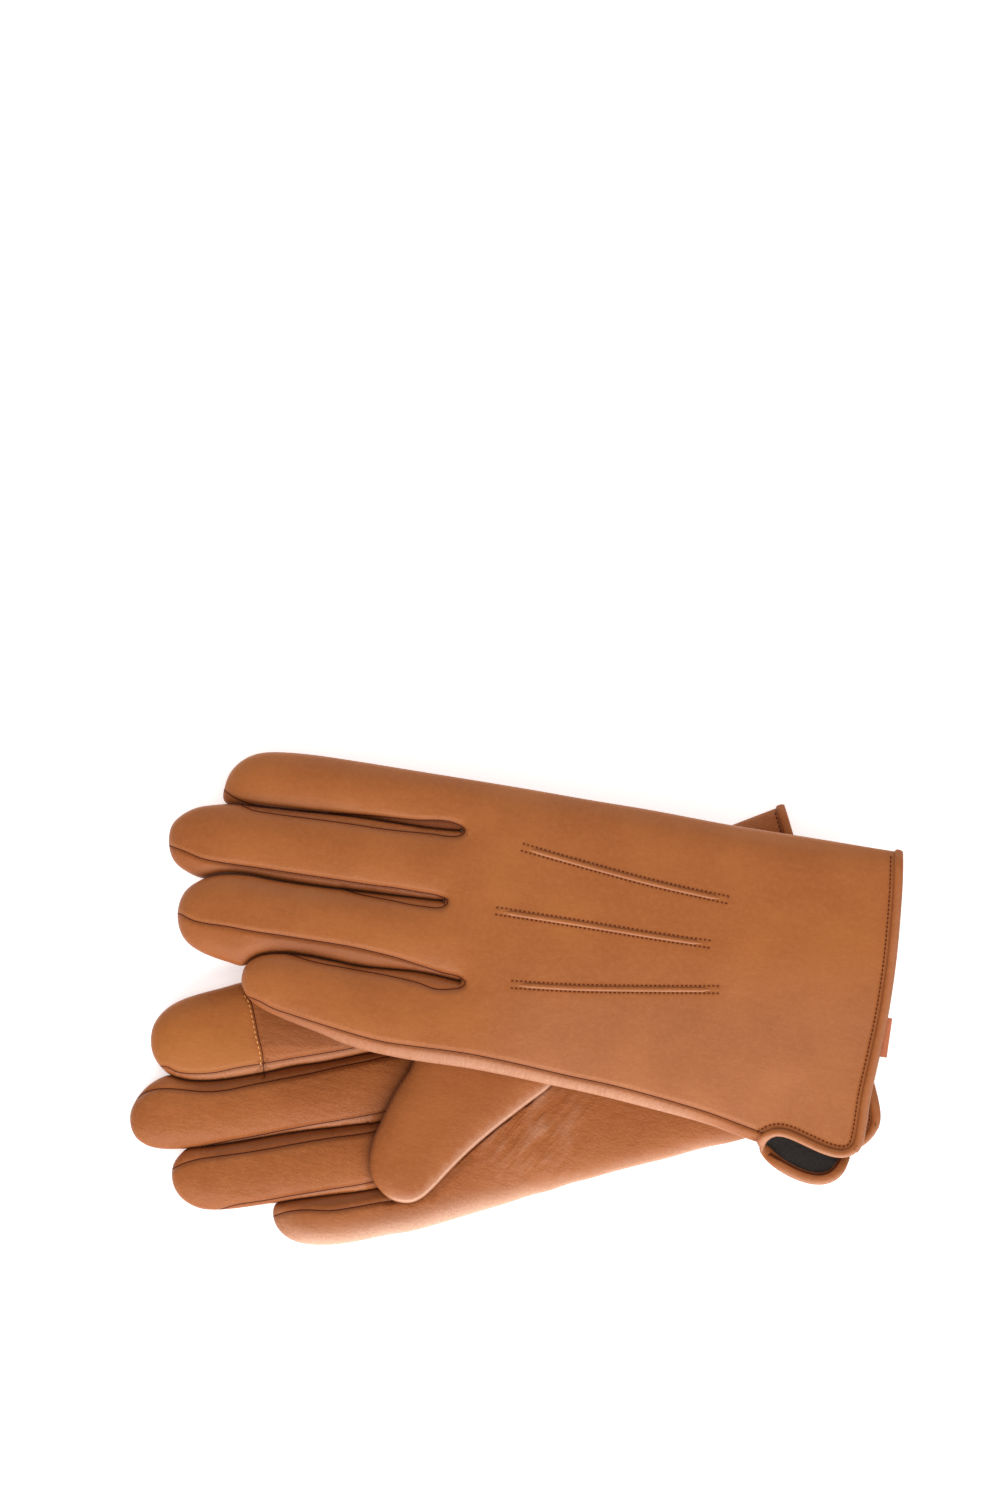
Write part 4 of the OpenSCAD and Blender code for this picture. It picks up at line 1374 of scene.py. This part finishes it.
for side, g in GLOVES.items():
    splits = [long_ends(resample(s, 2.5), 0.4) for s in g["plan"]["splits"]]
    lining(side, g["closed"], (g["top"]["opened"], g["low"]["opened"]), splits,
           (g["top"], g["low"]), "hand")
    th = g["thumb"]
    lining(side, th["outline"], (None, None), [], (th["top"], th["low"]), "thumb")


# ---- bindings -------------------------------------------------------------------------------

def edge_path(sheet):
    """The free edge of a sheet in 3-D, with the sheet's normals along it."""
    tree = plan_tree(sheet["p"])
    ids = [tree.find((x, y, 0))[1] for x, y in sheet["opened"]]
    return smooth_path(sheet["co"][ids]), smooth_path(sheet["n"][ids], 12)


# where each sheet's free edge turns from the slit to the hem
CORNER = dict(left=dict(top=(113.6, -49.4), low=(109.6, -52)),
              right=dict(top=(119.9, -41), low=(116.9, -37)))
BAND_SIDES = 14


def band_width(path, k, lip):
    """Half width of the binding from the slit's inner end, past the corner k, to the hem's end."""
    u = np.arange(len(path)) * EDGE_STEP
    w = np.full(len(path), BIND_W["hem"])
    w += (lip - BIND_W["hem"]) * (1 - ramp(u, u[k] - 7, u[k] + 3))
    return w + (BIND_W["bend"] - lip) * (1 - ramp(u, 0, 7))


def add_band(node, path, n, w, line_at=None, line_to=0):
    """A binding along a path. line_at is the way its stitched line faces, up to place line_to."""
    wide = np.cross(np.gradient(path, axis=0), n)
    sides = BAND_SIDES
    co, f, no = sweep(path, wide, w, 0.6 + 0.3 * w, sides, power=0.85)
    d = np.full((len(path), sides), FAR)
    # the stitched line is painted as a dark seam line: painted shade in its groove
    if line_at is not None:
        k = (no.reshape(len(path), sides, 3) * line_at[:, None]).sum(2).argmax(1)
        turn = np.unwrap(k * 2 * math.pi / sides) * sides / (2 * math.pi)
        k = smooth_path(turn[:, None], 40)
        step = (np.arange(sides)[None] - k + sides / 2) % sides - sides / 2
        d = np.clip(np.abs(step) - 0.35, 0, None) * 0.5
        d[line_to:] = FAR
    along = np.repeat(np.arange(len(path)) * EDGE_STEP, sides)
    seam = np.stack([d.ravel(), along, np.full(d.size, FAR)], 1)
    # painted highlight on the band's side that faces the key light
    shine = no @ np.array([0.25, -0.75, 0.6])
    piece(node).add(co, f, no, seam, deep=-0.24 * ramp(shine, 0.45, 1.0))


for side, g in GLOVES.items():
    ends = {}
    for s in ("top", "low"):
        path, n = edge_path(g[s])
        k = int(np.hypot(*(path[:, :2] - CORNER[side][s]).T).argmin())
        palm = (s == "low") == (side == "left")
        w = band_width(path, k, BIND_W["palm"] if palm and side == "left" else BIND_W["dorsal"])
        add_band(f"{side}_cuff_binding", path[k - 2:], n[k - 2:], w[k - 2:])
        ends[s] = path[:k + 1], n[:k + 1], w[:k + 1]
        g[s]["at"] = surface(g[s])
    (pa, na, wa), (pb, nb, wb) = ends["low"], ends["top"]
    path = smooth_path(np.vstack([pa[:0:-1], pb]), 8)
    n = unit(smooth_path(np.vstack([na[:0:-1], nb]), 8))
    w = np.concatenate([wa[:0:-1], wb])
    inward = unit(path.mean(0)[:2] - path[:, :2])
    face = np.column_stack([inward * 0.5, np.full(len(path), 0.87)])
    add_band(f"{side}_vent_binding", path, n, w, face if side == "left" else None, len(pa) - 6)


# ---- stitches, points and label -------------------------------------------------------------

for side, g in GLOVES.items():
    for s in ("top", "low"):
        panel = "back" if (side == "left") == (s == "top") else "palm"
        stitch_row(piece(f"{side}_{panel}_panel"), g[s]["hem_row"], g[s]["at"], "hem")


def ridge(name, line, at, proud):
    """One raised point: a narrow ridge between two rows of stitches that run on past its ends."""
    step = 0.8
    line = spline(line, step)
    pts, ns = map(np.array, zip(*(at(*q) for q in line[3:-3])))
    ns = smooth_path(ns, 6)
    u = np.arange(len(pts)) * step
    end = ramp(np.minimum(u, u[-1] - u), 0, 3.0)
    wide = np.cross(np.gradient(pts, axis=0), ns)
    co, f, no = sweep(smooth_path(pts, 3) + ns * (proud - 0.32), wide, 0.22 + 0.58 * end,
                      0.12 + 0.3 * end, 12)
    up = 1 if ns[0][2] > 0 else -1
    # painted highlight on the ridge's lower side, painted shade on its upper side
    shine = no @ np.array([0.1, -0.8, 0.6 * up])
    deep = np.where(shine > 0.6, -0.2 * ramp(shine, 0.6, 1.0), 0.3 * ramp(-shine, -0.15, 0.5))
    piece(name).add(co, f, no, deep=deep)
    for by in (ROW_GAP, -ROW_GAP):
        stitch_row(piece(name), shifted(line, by), at, "point")


# the points on the left glove's back, and the same ones on the right's, which faces the floor
for p in POINTS:
    ridge("left_back_points", p, GLOVES["left"]["top"]["at"], 0.26)
for p in POINTS:
    q = turned_to(np.array(p) - LEFT_AT, (0, 0), -LEFT_TURN)
    ridge("right_back_points", turned_to(q, (104.4, 14.4), math.radians(17)),
          GLOVES["right"]["low"]["at"], 0.12)

# the patch's stitches, on the pad's side of its seam
seam = spline(PATCH_SEAM, SEAM_STEP)
beside = min((shifted(seam, by) for by in (0.85, -0.85)), key=lambda row: row[8][0])
stitch_row(piece("right_index_touch_pad"), between(beside, (-89, 2), (-85.5, -22)),
           GLOVES["right"]["top"]["at"], "patch", mat=2)


def label():
    """A folded loop of ribbon let into the cuff's hem."""
    out = np.array([math.cos(LEFT_TURN), math.sin(LEFT_TURN)])
    across = np.array([-out[1], out[0]])
    path, _ = edge_path(GLOVES["left"]["top"])
    low, high = box_mm("left_label")
    centre = path[np.abs(path[:, 1] - (low + high)[1] / 2).argmin()]
    half, reach, sink, thick, steps = 6.6, 3.4, 3.5, 0.45, 15
    fold = [(reach - thick + thick * math.cos(a), thick * math.sin(a))
            for a in np.linspace(-math.pi / 2, math.pi / 2, 9)]
    outer = [(-sink, -thick)] + fold + [(-sink, thick)]
    inner = [(x - (0.22 if abs(z) < 0.44 else 0.0), z * 0.45) for x, z in outer]
    loop = outer + inner[::-1]
    co = []
    for y in np.linspace(-half, half, steps):
        for x, z in loop:
            q = centre[:2] + out * x + across * y
            co.append((q[0], q[1], centre[2] - 1.35 + z + 0.10 * math.sin(y * 0.5)))
    co = np.array(co)
    faces = tube_faces(steps, len(loop))
    no = np.zeros_like(co)
    for f in faces[:-2]:
        q = np.cross(co[f[1]] - co[f[0]], co[f[3]] - co[f[0]])
        for i in f:
            no[i] += q
    no /= np.maximum(np.linalg.norm(no, axis=1), 1e-9)[:, None]
    piece("left_label").add(co, faces, no)


label()


# ---- every piece made, and the hand's pieces onto the hand's body -----------------------------

# the first row whose pattern is in the piece's name gives its materials, and a slot name that
# nothing uses
LOOKS = [("_lining", [FLEECE], "lining"),
         ("_binding", [BIND, THREAD], "binding_leather"),
         ("_forks", [SIDE_SHADED, THREAD], "side_leather"),
         ("_sides", [SIDE_SHADED, THREAD], "side_leather"),
         ("touch_pad", [TOUCH, THREAD, TOUCH_THREAD], "touch_leather"),
         ("label", [LABEL], "label"),
         ("right_thumb", [THUMB, THREAD], "leather"),
         ("right_palm_panel", [PALM, THREAD], "leather"),
         *((f"right_{f}_palm", [PALM, THREAD], "leather") for f in FINGERS),
         ("", [LEATHER, THREAD], "leather")]


def bend_with(o):
    """Bakes the piece's place into its mesh; no blend from its hand to a body of its own is made."""
    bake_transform(o)


for n, pc in sorted(PIECES.items()):
    mats, slot = next(look[1:] for look in LOOKS if look[0] in n)
    o = pc.make("v_" + n, mats)
    side, part = n.split("_")[:2]
    if part in FINGERS:
        at, out = hinge(side, part)
        ends = (LEFT if side == "left" else RIGHT)["splits"][FINGERS.index(part)]
        if (side, part) == ("right", "index"):
            ends = PATCH_SEAM
        bend_with(o)
    elif part == "thumb":
        j = JOINTS[f"{side}_thumb_open"]
        at = np.array(j["pos_m"][:2]) / MM
        inward = np.array([-j["axis"][1], j["axis"][0]])
        if (GLOVES[side]["thumb"]["top"]["p"].mean(0) - at) @ inward < 0:
            inward = -inward
        bend_with(o)
    else:
        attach(o, f"{side}_hand")
    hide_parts(n)


# ---- floor, light and camera ----------------------------------------------------------------

def studio():
    bpy.ops.mesh.primitive_plane_add(size=8, location=(0, 0, 0))
    floor = bpy.context.object
    floor.name = "floor"
    m = Nodes("pale_floor", Base_Color=(0.93, 0.93, 0.93, 1), Roughness=0.9,
              Specular_IOR_Level=0.1, Emission_Color=(1, 1, 1, 1), Emission_Strength=0.5)
    floor.data.materials.append(m.mat)

    def area_light(name, at, aim, size, watts, gloss=True):
        data = bpy.data.lights.new(name, "AREA")
        data.shape = "RECTANGLE"
        data.size, data.size_y = size
        data.energy = watts
        o = bpy.data.objects.new(name, data)
        o.location = at
        o.rotation_euler = (Vector(aim) - Vector(at)).to_track_quat("-Z", "Y").to_euler()
        o.visible_glossy = gloss
        bpy.context.scene.collection.objects.link(o)

    area_light("key", (-0.1, -1.45, 0.95), (0, 0, 0), (2.4, 0.9), 44)
    area_light("top", (0.1, 0.1, 2.4), (0, 0, 0), (1.8, 1.8), 17, gloss=False)
    area_light("rim", (0.2, 1.8, 0.8), (0, 0, 0), (2.4, 0.8), 14)
    world = bpy.data.worlds.new("studio")
    world.use_nodes = True
    background = world.node_tree.nodes["Background"].inputs
    background["Color"].default_value = (1, 1, 1, 1)
    background["Strength"].default_value = 0.3
    bpy.context.scene.world = world
    bpy.context.scene.view_settings.view_transform = "Standard"


def look_down():
    """Straight down, framing the pair as a flat picture of 332 x 499 mm."""
    centre, tall = (-5.48, 82.77), 498.6
    plane, height = 24.0, 6000.0
    data = bpy.data.cameras.new("camera")
    data.sensor_fit = "VERTICAL"
    data.sensor_height = 24.0
    data.lens = 24.0 * height / tall
    data.clip_end = 20
    cam = bpy.data.objects.new("camera", data)
    cam.location = (centre[0] * MM, centre[1] * MM, (plane + height) * MM)
    bpy.context.scene.collection.objects.link(cam)
    bpy.context.scene.camera = cam


studio()
look_down()
